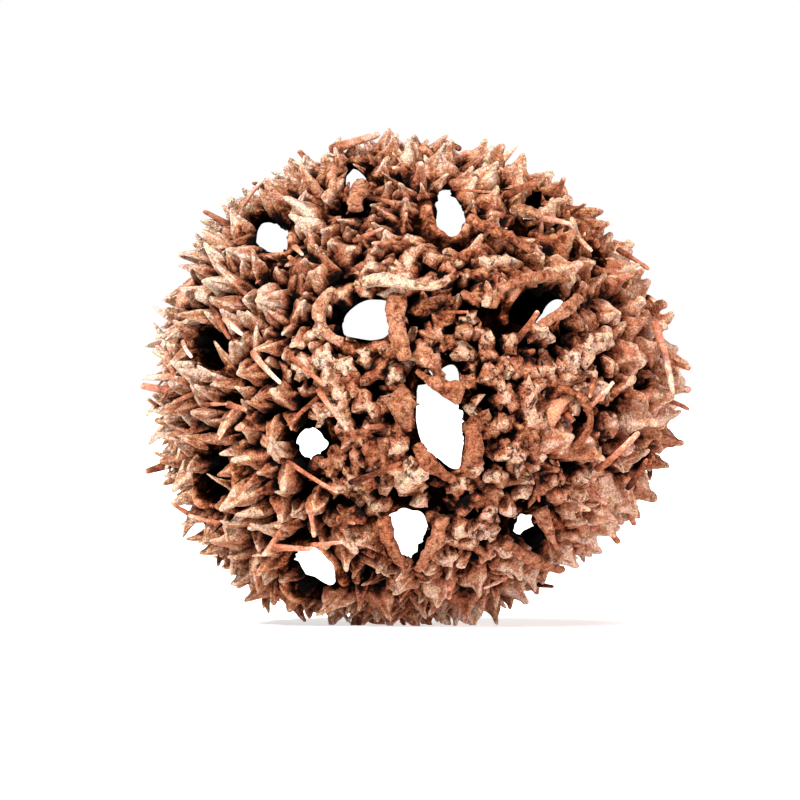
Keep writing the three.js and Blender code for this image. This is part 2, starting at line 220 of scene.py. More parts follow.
def seen_mouth(x, z, long, wide, turn, side):
    """A mouth from how it looks along Y: its axis, and its two half sizes laid on the ball."""
    right, up = x / STRETCH[0], z / STRETCH[2]
    axis = np.array([right, -math.sqrt(RIM_RADIUS**2 - right**2 - up**2), up]) / RIM_RADIUS
    angle = math.radians(turn)

    def laid_on(across, rise):
        return np.array([across, -(axis[0] * across + axis[2] * rise) / axis[1], rise])

    along = laid_on(long * math.cos(angle), long * math.sin(angle))
    aside = laid_on(-wide * math.sin(angle), wide * math.cos(angle))
    flip = np.array([1.0, side, 1.0])
    return axis * flip, along * flip, side * aside * flip


def all_mouths():
    """Each mouth's axis, half length and half width as vectors, and whether it goes through: the
    mouths seen from the front, those in line behind them, then one in each widest space."""
    found = [(*seen_mouth(*mouth[:5], 1), mouth[5] is not None) for mouth in FRONT_MOUTHS]
    for x, z, long, wide, turn, behind_it in FRONT_MOUTHS:
        if behind_it:
            shift_x, shift_z, size = behind_it
            far_x, far_z = x * FAR_MOUTH_SPREAD + shift_x, z * FAR_MOUTH_SPREAD + shift_z
            found.append((*seen_mouth(far_x, far_z, long * size, wide * size, turn, -1), True))
    places = spiral(MOUTH_CANDIDATES)
    to_rest = np.arccos(np.clip(-places[:, 2], -1, 1)) - REST_MARGIN + MOUTH_SPACING
    while True:
        axes = np.array([mouth[0] for mouth in found])
        gaps = np.arccos(np.clip(places @ axes.T, -1, 1)).min(axis=1)
        room = np.minimum(gaps, to_rest)
        widest = int(np.argmax(room))
        if room[widest] < MOUTH_SPACING:
            break
        axis = places[widest]
        along, aside = crossways(axis, pick(widest, 1, 0, math.pi))
        long = HALF_LENGTH * pick(widest, 2, 0.85, 1.15)
        wide = HALF_WIDTH * pick(widest, 3, 0.85, 1.15)
        found.append((axis, along * long, aside * wide, False))
    axes, alongs, asides, through = zip(*found)
    return np.array(axes), np.array(alongs), np.array(asides), np.array(through)


mouth_axis, mouth_along, mouth_aside, mouth_through = all_mouths()
print("mouths:", len(mouth_axis))

# %% [markdown]
# ## Where the scales are
# Scales stand evenly spaced but never in a mouth. Places from the even spiral are nudged apart,
# and any that fall in a mouth slide out to its rim, for a few rounds until they settle. Smaller
# scales then fill the gaps, each in the widest space that is left, so that hardly any bare wall
# shows.

# %% Places for scales
LEAST_FACING = 0.3  # the cosine, to a mouth's axis, of the widest angle that can be in the mouth
GIVEN_UP_REACH = 0.6
NUDGE = 0.35


def mouth_reach(directions, mouth, margin):
    """How far each direction is from a mouth's middle: 1 on the rim widened by a margin."""
    axis, along, aside = mouth_axis[mouth], mouth_along[mouth], mouth_aside[mouth]
    facing = directions @ axis
    near = facing > LEAST_FACING
    offset = (directions / np.where(near, facing, 1)[:, None] - axis) * RIM_RADIUS
    area = np.cross(along, aside) @ axis
    share_along = np.cross(offset, aside) @ axis / area
    share_aside = np.cross(along, offset) @ axis / area
    long, wide = np.linalg.norm(along), np.linalg.norm(aside)
    reach = np.hypot(share_along * long / (long + margin), share_aside * wide / (wide + margin))
    return np.where(near, reach, np.inf), offset


def onto_rims(directions, margin):
    """Slides each direction that is in a mouth straight out from its middle to the rim."""
    for mouth in range(len(mouth_axis)):
        reach, offset = mouth_reach(directions, mouth, margin)
        moved = mouth_axis[mouth] * RIM_RADIUS + offset / np.maximum(reach, 0.05)[:, None]
        directions = np.where((reach < 1)[:, None], unit(moved), directions)
    return directions


def clear_of_mouths(directions, margin):
    """The smallest reach of each direction over all mouths."""
    return np.min([mouth_reach(directions, m, margin)[0] for m in range(len(mouth_axis))], axis=0)


def settled_places(count, spacing, margin, rounds):
    """Spiral directions, without those deep in a mouth, pushed apart where closer than the
    spacing, by a share of what is missing in each round, and out of the mouths."""
    places = spiral(count)
    places = places[clear_of_mouths(places, margin) > GIVEN_UP_REACH]
    closest = spacing / WALL_OUTSIDE
    for _ in range(rounds):
        away = places[:, None] - places[None]
        gap = np.linalg.norm(away, axis=2)
        near = (gap > 0) & (gap < closest)
        weight = np.where(near, NUDGE * (closest - gap) / np.where(near, gap, 1), 0)
        places = onto_rims(unit(places + (away * weight[..., None]).sum(axis=1)), margin)
    return places


def filler_places(places, nearest, margin, candidates):
    """More places, one at a time where the nearest scale is furthest off, down to a limit."""
    options = spiral(candidates)
    options = options[clear_of_mouths(options, margin) > 1]
    room = (1 - options @ places.T).min(axis=1)
    added = []
    while math.sqrt(2 * room.max()) * WALL_OUTSIDE > nearest:
        best = options[int(np.argmax(room))]
        added.append(best)
        room = np.minimum(room, 1 - options @ best)
    return np.array(added)


main_places = settled_places(count=520, spacing=2.0, margin=0.55, rounds=10)
small_places = filler_places(main_places, nearest=0.79, margin=0.1, candidates=9000)
print("large scales:", len(main_places), "small scales:", len(small_places))

# %% [markdown]
# ## Daylight
# Where two mouths line up, the light shows through in a patch with a shape of its own, cut by
# whatever stands nearest to the sight line. Each patch is given by a few corners, as the camera
# sees them. Whatever would stand inside a patch is moved aside to its edge, which is how a
# funnel's wall hugs its hole.

# %% Daylight
DAYLIGHT_EDGE = 0.08  # what stood in a patch ends in a band round it, this share of it wide
DAYLIGHT_SHRINK = 0.91  # a patch comes out larger than its corners say, so they are drawn in
FARTHEST_CORNER = 4.5  # no corner is further than this from the point within its patch
DAYLIGHT = [  # a point x, z within each patch, and the corners x, z round it
    ((-2.8, 3.45), [(-4.3, 3.1), (-3.9, 3.9), (-3.4, 4.3), (-2.85, 4.55), (-1.75, 4.5),
                    (-1.6, 4.1), (-1.85, 2.9), (-1.8, 2.4), (-2.7, 2.25), (-4.2, 2.5)]),
    ((1.35, -2.1), [(-0.2, -0.5), (0.35, -0.3), (1.4, 1.0), (2.2, 1.2), (2.2, 0.5), (2.1, -1.8),
                    (2.3, -2.4), (2.2, -3.7), (2.3, -4.3), (2.2, -4.9), (1.6, -4.75),
                    (0.7, -3.95), (0.0, -3.3), (-0.25, -2.0)]),
    ((-0.6, -8.1), [(-1.9, -7.15), (-0.9, -7.2), (-0.15, -7.0), (0.2, -7.1), (0.45, -7.9),
                    (0.1, -8.4), (-0.35, -9.5), (-0.75, -9.6), (-1.15, -9.2), (-1.35, -8.3)]),
    ((-5.5, -9.9), [(-6.7, -9.05), (-5.4, -8.95), (-5.1, -9.8), (-4.7, -9.8), (-4.6, -11.45),
                    (-5.3, -11.1), (-5.9, -10.5), (-6.45, -10.25), (-6.75, -9.6)]),
    ((-5.8, -3.5), [(-6.6, -2.95), (-6.3, -2.7), (-5.6, -3.1), (-5.2, -3.1), (-4.95, -3.3),
                    (-5.05, -3.6), (-5.65, -3.95), (-6.0, -4.15), (-6.4, -4.1), (-6.6, -3.8)]),
    ((-8.1, 8.05), [(-8.95, 8.3), (-8.7, 8.75), (-8.2, 8.8), (-7.3, 8.25), (-6.9, 8.1),
                    (-7.5, 7.9), (-7.85, 7.6), (-8.3, 7.4), (-9.0, 7.45)]),
    ((1.7, 9.2), [(1.0, 10.5), (1.25, 10.65), (1.65, 10.15), (1.9, 10.2), (2.25, 9.6), (2.55, 8.8),
                  (2.3, 8.6), (2.25, 8.15), (1.95, 7.95), (1.8, 8.25), (0.8, 8.4), (1.05, 9.1)]),
    ((-3.55, 10.35), [(-3.8, 11.9), (-3.25, 11.6), (-2.85, 11.1), (-3.1, 10.2), (-3.5, 9.95),
                      (-4.0, 10.2), (-4.1, 11.2), (-4.05, 11.5)]),
    ((7.1, 3.95), [(6.2, 3.2), (6.7, 3.75), (7.0, 4.4), (7.5, 4.65), (8.05, 4.45), (7.5, 3.95),
                   (6.75, 3.2)]),
    ((5.6, -7.75), [(5.5, -7.1), (5.7, -7.2), (5.95, -7.85), (5.9, -8.0), (5.3, -8.4),
                    (5.2, -7.95)]),
    ((6.0, 9.25), [(6.75, 10.55), (6.65, 9.95), (6.45, 9.3), (6.3, 8.9), (5.7, 9.0), (5.75, 9.95),
                   (6.3, 10.45)]),
]


def edge_reach(offset, corners):
    """How far the closed outline of the corners is from the middle in each offset's direction:
    the crossing of the offset's ray with the nearest of the outline's sides."""
    side = np.roll(corners, -1, axis=0) - corners
    ray = offset / np.linalg.norm(offset, axis=1, keepdims=True)
    across = ray[:, 0:1] * side[:, 1] - ray[:, 1:2] * side[:, 0]
    across = np.where(np.abs(across) < 1e-9, 1e-9, across)
    distance = (corners[:, 0] * side[:, 1] - corners[:, 1] * side[:, 0]) / across
    share = (corners[:, 0] * ray[:, 1:2] - corners[:, 1] * ray[:, 0:1]) / across
    hit = (share > -0.001) & (share < 1.001) & (distance > 0)
    return np.where(hit, distance, np.inf).min(axis=1)


def as_seen(points):
    """Where points appear in the plane through the ball's middle, and how much they shrink to
    get there, for the camera looks along straight lines that spread."""
    aim = np.array([aim_x, aim_z - CENTRE_HEIGHT])
    shrink = CAMERA_DISTANCE / (CAMERA_DISTANCE + points[:, 1:2])
    return aim + ((points * shape(points))[:, [0, 2]] - aim) * shrink, shrink, aim


def patch_share(seen, patch):
    """Offsets from the point within a patch, and their lengths as shares of the patch's reach."""
    middle = np.array(patch[0])
    offset = seen - middle + 1e-6
    corners = (np.array(patch[1]) - middle) * DAYLIGHT_SHRINK
    return offset, np.linalg.norm(offset, axis=1) / edge_reach(offset, corners)


def clear_daylight(points):
    """Points moved aside, as the camera sees them, out of every patch of daylight. What lies
    nearer to a patch's middle than its edge and a bit more is squeezed into that bit."""
    flat = points.reshape(-1, 3)
    seen, shrink, aim = as_seen(flat)
    for patch in DAYLIGHT:
        near = np.flatnonzero(np.linalg.norm(seen - patch[0], axis=1) < FARTHEST_CORNER)
        offset, share = patch_share(seen[near], patch)
        moved = 1 + DAYLIGHT_EDGE * share / (1 + DAYLIGHT_EDGE)
        stretch = np.where(share < 1 + DAYLIGHT_EDGE, moved / share, 1)
        seen[near] = patch[0] + offset * stretch[:, None]
    across = (aim + (seen - aim) / shrink) / shape(flat)[:, [0, 2]]
    return np.stack([across[:, 0], flat[:, 1], across[:, 1]], axis=1).reshape(points.shape)


def in_daylight(points):
    """Which points stand in a patch of daylight."""
    seen = as_seen(points)[0]
    blocking = np.zeros(len(points), bool)
    for patch in DAYLIGHT:
        near = np.flatnonzero(np.linalg.norm(seen - patch[0], axis=1) < FARTHEST_CORNER)
        blocking[near] |= patch_share(seen[near], patch)[1] < 1
    return blocking


print("patches of daylight:", len(DAYLIGHT))

# %% [markdown]
# ## From numbers to a mesh
# Every piece below is a grid: rows that run round a section, one after another along a path or
# a profile. One helper turns a stack of such grids into a mesh. A grid that is open at its ends
# is closed by a point at each end, so no piece has a hole in its skin. The wood is modelled in
# millimetres round the ball's middle, then stretched and lifted to where the ball rests.

# %% Mesh from grids
def in_frame(points):
    """Millimetres round the ball's middle, to metres standing on the floor. What would stick
    through the floor is worn down to it, as the tips are that the fruit rests on."""
    placed = points * shape(points) + [0, 0, CENTRE_HEIGHT]
    return np.maximum(placed, [-np.inf, -np.inf, 0]) * MM


def grid_faces(grids, rows, columns, closed_rows):
    """Four corners of every cell of a stack of grids whose columns go all the way round."""
    row_steps = rows if closed_rows else rows - 1
    g, r, c = np.meshgrid(np.arange(grids), np.arange(row_steps), np.arange(columns), indexing="ij")
    start, next_row, next_column = g * rows * columns, (r + 1) % rows, (c + 1) % columns
    corners = [r * columns + c, r * columns + next_column,
               next_row * columns + next_column, next_row * columns + c]
    return np.stack([start + corner for corner in corners], axis=-1).reshape(-1, 4)


def end_faces(grids, rows, columns, first_pole):
    """Triangles from the first and the last row of each grid to the pole at that end."""
    g, c = np.meshgrid(np.arange(grids), np.arange(columns), indexing="ij")
    start, last = g * rows * columns, (g * rows + rows - 1) * columns
    low, high = first_pole + 2 * g, first_pole + 2 * g + 1
    bottom = np.stack([start + (c + 1) % columns, start + c, low], axis=-1)
    top = np.stack([last + c, last + (c + 1) % columns, high], axis=-1)
    return np.concatenate([bottom.reshape(-1, 3), top.reshape(-1, 3)])


def new_piece(name, points, quads, triangles, attributes, material, smoothing):
    """A mesh object at the origin, with its attributes, its material and a smoothing modifier.
    One level of smoothing makes a four-sided face of each corner, and the next four of each."""
    mesh = bpy.data.meshes.new(name)
    corners = np.concatenate([quads.ravel(), triangles.ravel()]).astype(np.int32)
    sizes = np.concatenate([np.full(len(quads), 4), np.full(len(triangles), 3)])
    mesh.vertices.add(len(points))
    mesh.vertices.foreach_set("co", in_frame(points).astype(np.float32).ravel())
    mesh.loops.add(len(corners))
    mesh.loops.foreach_set("vertex_index", corners)
    mesh.polygons.add(len(sizes))
    first_corners = np.concatenate([[0], np.cumsum(sizes)[:-1]])
    mesh.polygons.foreach_set("loop_start", first_corners.astype(np.int32))
    mesh.polygons.foreach_set("use_smooth", np.ones(len(sizes), bool))
    mesh.update(calc_edges=True)
    for label, values in attributes.items():
        layer = mesh.attributes.new(label, "FLOAT", "POINT")
        layer.data.foreach_set("value", values.astype(np.float32).ravel())
    mesh.materials.append(material)
    piece = bpy.data.objects.new(name, mesh)
    bpy.context.scene.collection.objects.link(piece)
    if smoothing:
        smooth = piece.modifiers.new("smooth", "SUBSURF")
        smooth.levels = smooth.render_levels = smoothing
    plain = len(corners) - 2 * len(sizes)
    print(name, "triangles:", 2 * len(corners) * 4 ** (smoothing - 1) if smoothing else plain)
    return piece


def closed_stack(grids, poles):
    """Points and faces of a stack of grids shaped (grid, row, column, 3) with a pole at each end."""
    count, rows, columns, _ = grids.shape
    points = np.concatenate([grids.reshape(-1, 3), poles.reshape(-1, 3)])
    quads = grid_faces(count, rows, columns, False)
    triangles = end_faces(count, rows, columns, count * rows * columns)
    return points, quads, triangles


def for_each_point(values, grids):
    """One value for each grid, repeated for its corners and then for its two poles."""
    return np.concatenate([np.repeat(values, grids[0, ..., 0].size), np.repeat(values, 2)])


def spokes(along, aside, turn):
    """Directions from each grid's path out to its sides, shaped (grid, 1, side, 3): one direction
    across the path, turned by each angle towards the other."""
    return (along[:, None] * np.cos(turn)[:, None] + aside[:, None] * np.sin(turn)[:, None])[:, None]


# %% [markdown]
# ## Materials: helpers
# Dry fruit wood is matt and scurfy: dead cells flake off it, so it has a fine grain all over,
# and light catches every edge. Colours are written as hex values, as a colour chip gives them,
# and turned to the linear light that the renderer works in.

# %% Material helpers
def linear(hex_colour, alpha=1.0):
    """An sRGB hex colour as linear red, green and blue, and an alpha."""
    values = [int(hex_colour[i:i + 2], 16) / 255 for i in (1, 3, 5)]
    return [v / 12.92 if v <= 0.04045 else ((v + 0.055) / 1.055) ** 2.4 for v in values] + [alpha]


def add_node(tree, kind, settings=None, links=None, stops=None, out=0):
    """Adds one shader node and returns one of its outputs, or the node if it has none. Settings
    go to its properties or sockets, links give each input its source, and stops are the places
    and colours of a ramp."""
    node = tree.nodes.new("ShaderNode" + kind)
    for key, value in (settings or {}).items():
        if isinstance(key, str) and hasattr(node, key):
            setattr(node, key, value)
        else:
            node.inputs[key].default_value = value
    for key, source in (links or {}).items():
        tree.links.new(source, node.inputs[key])
    if stops:
        ramp = node.color_ramp.elements
        ramp[0].position, ramp[0].color = stops[0][0], linear(stops[0][1])
        ramp[1].position, ramp[1].color = stops[-1][0], linear(stops[-1][1])
        for position, colour in stops[1:-1]:
            ramp.new(position).color = linear(colour)
    return node.outputs[out] if len(node.outputs) else node


def new_material(name):
    """An empty node material, and the helper that adds a node to it."""
    material = bpy.data.materials.new(name)
    material.use_nodes = True
    material.node_tree.nodes.clear()
    return material, partial(add_node, material.node_tree)


# %% [markdown]
# ## Dry scurfy wood
# The scales are dead, woody flower parts that dried on the tree. The wood is pinkish terracotta,
# bleached to cream where sun and rubbing reach it, and painted darker down towards the gaps, to
# nearly black, as painted shade. Fine grain breaks up every highlight, pits in the rubbed wood are
# painted dark as painted shade, and the hue wanders a little from crumb to crumb. The upper left of
# the head, the side the key lamp shines from, is painted paler and yellower, partly as painted
# light, and the lower right is pinker.

# %% Scurfy wood
GRAIN_PER_METRE = 1 / (0.10 * MM)  # the real grain is finer, but less than two pixels don't show
PEBBLE_PER_METRE = 1 / (0.34 * MM)
CRUMB_PER_METRE = 1 / (0.38 * MM)
MOTTLE_PER_METRE = 1 / (0.7 * MM)
CRUMB_WARP = 0.6 * MM
BUMP_DEPTH = 0.4 * MM
RAMP_CENTRING = 1.18  # brings the sum of rise and the noises back to the ramp's range
# Painted light, in part: along the line to the lower right the colour is multiplied by a ramp that is
# paler and yellower towards the upper left, where the key lamp shines from, and pinker towards the
# lower right.
TO_LOWER_RIGHT = (0.8, 0, -0.7)
PALE_END = -22 * MM
PINK_END = 4 * MM
SIDE_HUES_AND_PAINTED_LIGHT = [(0.0, "#fffffc"), (0.3, "#fff4e8"), (0.52, "#f0decf"), (1.0, "#f2ded6")]
# Red, green and blue are each multiplied by this much of the pebbles' noise plus this base
HUE_SWING = (0.2, 0.7, 0.8)
HUE_BASE = (0.93, 0.65, 0.60)


def scurfy_wood(name, stops, relief, gloss, crumbling):
    """Wood coloured from gap to tip by the attribute rise, which paints shade nearly black in the
    gaps, each piece lighter or darker by tint, with mottle and granular relief. Gloss is how much
    waxy spots glint. Crumbling is how deep the cracks between crumbs are, and how dark the pits are
    painted, as painted shade, where the attribute worn is high."""
    material, add = new_material(name)
    place = add("TexCoord", out="Object")
    rise, tint, worn = (add("Attribute", {"attribute_name": label}, out="Fac")
                        for label in ("rise", "tint", "worn"))
    at_place = {"Vector": place}
    grain = add("TexNoise", {"Scale": GRAIN_PER_METRE, "Detail": 3.0, "Roughness": 0.65}, at_place)
    pebble = add("TexNoise", {"Scale": PEBBLE_PER_METRE, "Detail": 3.0, "Roughness": 0.6,
                              "Distortion": 0.6}, at_place)
    mottle = add("TexNoise", {"Scale": MOTTLE_PER_METRE, "Detail": 5.0, "Roughness": 0.7}, at_place)
    pebble_hue = pebble.node.outputs["Color"]
    warped = add("VectorMath", {"operation": "MULTIPLY_ADD", 1: (CRUMB_WARP,) * 3},
                 {0: pebble_hue, 2: place})
    crumb = add("TexVoronoi", {"feature": "DISTANCE_TO_EDGE", "Scale": CRUMB_PER_METRE},
                {"Vector": warped})
    crack = add("MapRange", {"From Max": 0.3, "To Min": 1 - crumbling}, {"Value": crumb})

    # Painted shade: rise is low in gaps and creases, so the ramp paints them dark.
    level = rise
    for noise, share in ((mottle, 1.0), (pebble, 0.9), (tint, 0.35)):
        level = add("Math", {"operation": "MULTIPLY_ADD", 1: share}, {0: noise, 2: level})
    level = add("Math", {"operation": "SUBTRACT", 1: RAMP_CENTRING}, {0: level})
    colour = add("ValToRGB", {}, {"Fac": level}, stops)

    # Painted light, in part: paler towards the upper left, the key lamp's side, and pinker to the
    # lower right.
    across = add("VectorMath", {"operation": "DOT_PRODUCT", 1: TO_LOWER_RIGHT}, {0: place},
                 out="Value")
    side = add("MapRange", {"From Min": PALE_END, "From Max": PINK_END}, {"Value": across})
    side_hue_and_light = add("ValToRGB", {}, {"Fac": side}, SIDE_HUES_AND_PAINTED_LIGHT)
    wander = add("VectorMath", {"operation": "MULTIPLY_ADD", 1: HUE_SWING, 2: HUE_BASE},
                 {0: pebble_hue})
    for layer in (side_hue_and_light, wander):
        colour = add("VectorMath", {"operation": "MULTIPLY"}, {0: colour, 1: layer})

    fleck = add("MapRange", {"From Min": 0.3, "From Max": 0.72, "To Min": 0.42, "To Max": 1.58},
                {"Value": grain})
    # Painted shade: the low pits of the pebble relief are darkened where the wood is rubbed.
    pit = add("MapRange", {"From Min": 0.36, "From Max": 0.46, "To Min": -1.3 * crumbling,
                           "To Max": 0.0}, {"Value": pebble})
    pit = add("Math", {"operation": "MULTIPLY_ADD", 2: 1.0}, {0: pit, 1: worn})
    shade = add("Math", {"operation": "MULTIPLY"}, {0: fleck, 1: pit})
    colour = add("VectorMath", {"operation": "SCALE"}, {0: colour, "Scale": shade})

    height = add("Math", {"operation": "MULTIPLY_ADD", 1: 0.6}, {0: grain, 2: pebble})
    height = add("Math", {"operation": "MULTIPLY_ADD", 1: crumbling}, {0: crack, 2: height})
    bump = add("Bump", {"Strength": relief, "Distance": BUMP_DEPTH}, {"Height": height})
    wood = add("BsdfPrincipled", {"Roughness": 0.85 - 0.6 * gloss,
                                  "Specular IOR Level": 0.7 * gloss},
               {"Base Color": colour, "Normal": bump})
    add("OutputMaterial", {}, {"Surface": wood})
    print(name, "nodes:", len(material.node_tree.nodes))
    return material


# Matt and crumbly: painted nearly black in the gaps as painted shade, terracotta on the flanks, cream
# where it is worn
scale_wood = scurfy_wood("dry_scurfy_fruit_wood", [
    (0.0, "#070201"), (0.16, "#260f07"), (0.32, "#6e3a26"), (0.54, "#a66c50"), (0.80, "#c0937a"),
    (1.0, "#e2cbba")], relief=0.9, gloss=0.12, crumbling=0.65)
# Smoother and redder than the scales, and never black, because spines stand in the open
spine_wood = scurfy_wood("dry_spine_wood", [
    (0.0, "#2a120a"), (0.3, "#6e402e"), (0.6, "#a46c54"), (0.9, "#c8998a"), (1.0, "#e0c8ba")],
    relief=0.5, gloss=0.1, crumbling=0.2)
# Smooth and without any glint: painted black down the throat as painted shade, and brown only near the
# rim
capsule_wood = scurfy_wood("smooth_capsule_wall_wood", [
    (0.0, "#030100"), (0.28, "#120704"), (0.48, "#4c2a1c"), (0.66, "#9a6248"), (0.9, "#cfa086")],
    relief=0.8, gloss=0.0, crumbling=0.3)

# %% [markdown]
# ## The capsules
# Each capsule is a short funnel: a bare, smooth wall goes down inside, two curved valves stand
# up along the sides of the mouth, and outside them the wall spreads until it meets the next
# capsule. Real capsules are fused there. Each is made as a ring with a closed section, carried
# round the lens of the mouth, and reaches just past the line halfway to its neighbours, so that
# the rings together close the wall.

# %% Capsules
AROUND_MOUTH = 44
LENS_POINT = 0.3  # 0 makes a mouth an ellipse, and more draws its ends to points
THROAT_ROW = 6  # the first corner of the section that lies inside the mouth
LOW_VALVES = 2  # the two large mouths in the middle have low valves
# A throat runs straight back as far as this from the line of sight through the ball's middle.
# Further out it bends inwards, and never passes the second distance
FREE_SIGHT = 10.8
DEEPEST_SIGHT = 11.75
# The section from the web out between two capsules, over the foot, crest and edge of a valve,
# down the throat and back underneath: share of the way to the line between two capsules,
# offset from the rim, radius, and how much a valve adds to the radius at its middle
SECTION = np.array([
    (1.10, 0.0, 12.30, 0.0), (0.60, 0.0, 12.40, 0.0), (0.0, 0.85, 12.55, 0.1),
    (0.0, 0.62, 12.90, 0.6), (0.0, 0.36, 13.10, 0.9), (0.0, 0.10, 13.05, 0.8),
    (0.0, 0.0, 12.80, 0.4), (0.0, 0.0, 12.30, 0.0), (0.0, 0.02, 11.85, 0.0),
    (0.0, 0.06, 11.45, 0.0), (0.0, 0.24, 11.40, 0.0), (0.0, 0.38, 11.55, 0.0),
    (0.5, 0.2, 11.85, 0.0), (1.10, 0.0, 11.90, 0.0),
])


def behind(directions):
    """Directions at the inner wall straight behind those at the rim, as seen along Y."""
    seen = directions[..., [0, 2]] * RIM_RADIUS
    length = np.linalg.norm(seen, axis=-1, keepdims=True)
    room = DEEPEST_SIGHT - FREE_SIGHT
    beyond = np.maximum(length - FREE_SIGHT, 0)
    seen = seen / length * (np.minimum(length, FREE_SIGHT) + room * (1 - np.exp(-beyond / room)))
    depth = np.sqrt(WALL_INSIDE**2 - (seen**2).sum(axis=-1))
    y = np.sign(directions[..., 1]) * depth
    return unit(np.stack([seen[..., 0], y, seen[..., 1]], axis=-1))


def capsule_grids():
    """Rings shaped (mouth, section corner, step round the mouth, 3). A corner lies out from the
    lens by its share of the way to the line between two capsules, plus its own offset. Throats
    of mouths that go through are sheared to run back along the line of sight."""
    turn = np.linspace(0, 2 * math.pi, AROUND_MOUTH, endpoint=False)
    side = np.sin(turn) * np.abs(np.sin(turn)) ** LENS_POINT
    lens = mouth_along[:, None] * np.cos(turn)[:, None] + mouth_aside[:, None] * side[:, None]
    reach = np.linalg.norm(lens, axis=2)
    outward = lens / reach[..., None]
    # The border with each neighbour is where both axes are equally far, and the nearest counts
    facing = np.einsum("muk,nk->mun", outward, mouth_axis)
    apart = 1 - mouth_axis @ mouth_axis.T
    ratio = np.where(facing > 1e-6, apart[:, None] / np.maximum(facing, 1e-6), np.inf)
    own = np.arange(len(mouth_axis))
    ratio[own, :, own] = np.inf
    border = np.maximum(np.minimum(ratio.min(axis=2), 0.6) * RIM_RADIUS, reach + 0.5)
    share, offset, radius, valve = SECTION.T
    corner = np.arange(len(SECTION))
    share = np.where(mouth_through[:, None] & (corner == len(SECTION) - 2), 0, share)
    length = (reach[:, None] + share[..., None] * (border - reach)[:, None]
              + offset[:, None] * (0.7 + 0.6 * np.abs(np.sin(turn))))
    direction = unit(mouth_axis[:, None, None] * RIM_RADIUS + outward[:, None] * length[..., None])
    # The further a mouth that goes through is from the middle of the picture, the more its throat
    # is sheared, and the shallower it and its valves are, so that they don't stand in the light
    seen = np.linalg.norm(mouth_axis[:, [0, 2]], axis=1) * RIM_RADIUS
    sideways = np.clip((seen - 5) / 4, 0, 1)
    least = np.where(mouth_through, 11.0 + 0.85 * sideways, 0)
    radius = np.maximum(radius, least[:, None])
    depth = np.clip((12.85 - radius) / 1.0, 0, 1.4) * (share < 0.05)
    sheared = direction + (behind(direction) - direction) * depth[..., None, None]
    direction = np.where(mouth_through[:, None, None, None], unit(sheared), direction)
    tall = np.where(mouth_through, 1 - 0.8 * sideways, 1.0)
    tall = tall * np.where(own < LOW_VALVES, 0.3, pick(own, 42, 0.2, 0.8))
    valve_rise = valve[:, None] * (np.abs(np.sin(turn)) - 0.35)
    lift = radius[..., None] + tall[:, None, None] * valve_rise
    points = direction * lift[..., None]
    coarse, fine = lumps(points, 1.6), lumps(points, 0.5)
    rough_rows = np.where(corner < THROAT_ROW, 1.0, 0.12)[:, None]
    return points + direction * ((1.1 * coarse + 0.6 * fine) * rough_rows)[..., None]


grids = capsule_grids()
count, rows, columns, _ = grids.shape
quads = grid_faces(count, rows, columns, True)[:, ::-1]
radius = np.linalg.norm(grids, axis=3)
throat = (np.arange(rows) >= THROAT_ROW)[:, None]
# Painted shade: the wall is painted darker the lower it lies, towards the web between capsules, and
# the throat is kept dark.
rise = np.where(throat, np.clip((radius - 12.0) / 2.6, 0, 0.4), np.clip((radius - 12.5) / 1.1, 0, 1))
tint = np.broadcast_to(pick(np.arange(count), 41, 0, 0.6)[:, None, None], rise.shape)
capsules = new_piece("capsule_walls", clear_daylight(grids).reshape(-1, 3), quads,
                     np.zeros((0, 3), int), {"rise": rise, "tint": tint}, capsule_wood, 1)

# %% [markdown]
# ## The scales
# A scale is a lumpy, folded base that narrows to a blunt peg or a leaning beak. On the side that
# was rubbed the pegs have broken off, and the bases look like crumpled stars with a pit or a boss
# in the middle. On the left of the head the scales are slender fingers, and on the right broad
# thorns. One formula makes them all: a section that swells and narrows on its way up a path that
# leans. Folds run down its sides, most of them sharp, and noise roughens it. Where daylight
# passes close by, a scale starts higher up and its rings are drawn in.

# %% Scale form
SCALE_SIDES = 16
SCALE_FOOT = 12.0
LUMP_SIZE = 0.48
# Heights of the rings up a scale, then for each form the half widths there, all as shares of the
# scale's own, and how deep the folds are at each ring
RINGS_UP = np.array([0.0, 0.18, 0.33, 0.45, 0.55, 0.63, 0.70, 0.78, 0.86, 0.93, 0.985])
FLASK = np.array([1.10, 1.12, 1.10, 1.00, 0.84, 0.62, 0.43, 0.31, 0.25, 0.21, 0.10])
STAR = np.array([0.72, 0.80, 0.90, 1.02, 1.12, 1.16, 1.12, 0.98, 0.74, 0.46, 0.20])
FINGER = np.array([0.98, 1.00, 1.04, 1.02, 0.96, 0.86, 0.72, 0.56, 0.43, 0.34, 0.18])
THORN = np.array([1.20, 1.10, 0.99, 0.87, 0.74, 0.60, 0.47, 0.35, 0.26, 0.22, 0.13])
FOLDING = np.array([0.7, 0.9, 1.0, 1.0, 1.0, 0.95, 0.85, 0.7, 0.5, 0.3, 0.1])
RUBBED_SIDE = unit(np.array([0.2, -1.0, -0.12]))


def region_shares(places, number):
    """How far each place belongs to the rubbed side, where most but not all scales are rubbed, to
    the slender left, and to the broad right: each a share that grows with the distance."""
    rubbed = np.clip((places @ RUBBED_SIDE - 0.66) / 0.16, 0, 1) * (chance(number, 59) < 0.85)
    left = np.clip(-1.8 * places[:, 0] - 0.5, 0, 1) * (1 - rubbed)
    right = np.clip(1.8 * places[:, 0] - 0.5, 0, 1) * (1 - rubbed)
    return rubbed, left, right


def folds(turn, count, phase, sharp):
    """Rises and falls round a section, from a wave's size: sharp ridges with round hollows
    between them, or round lobes with sharp creases."""
    wave = np.abs(np.cos(count * turn / 2 + phase))
    return np.where(sharp, 1 - np.sqrt(1 - wave**2), wave)


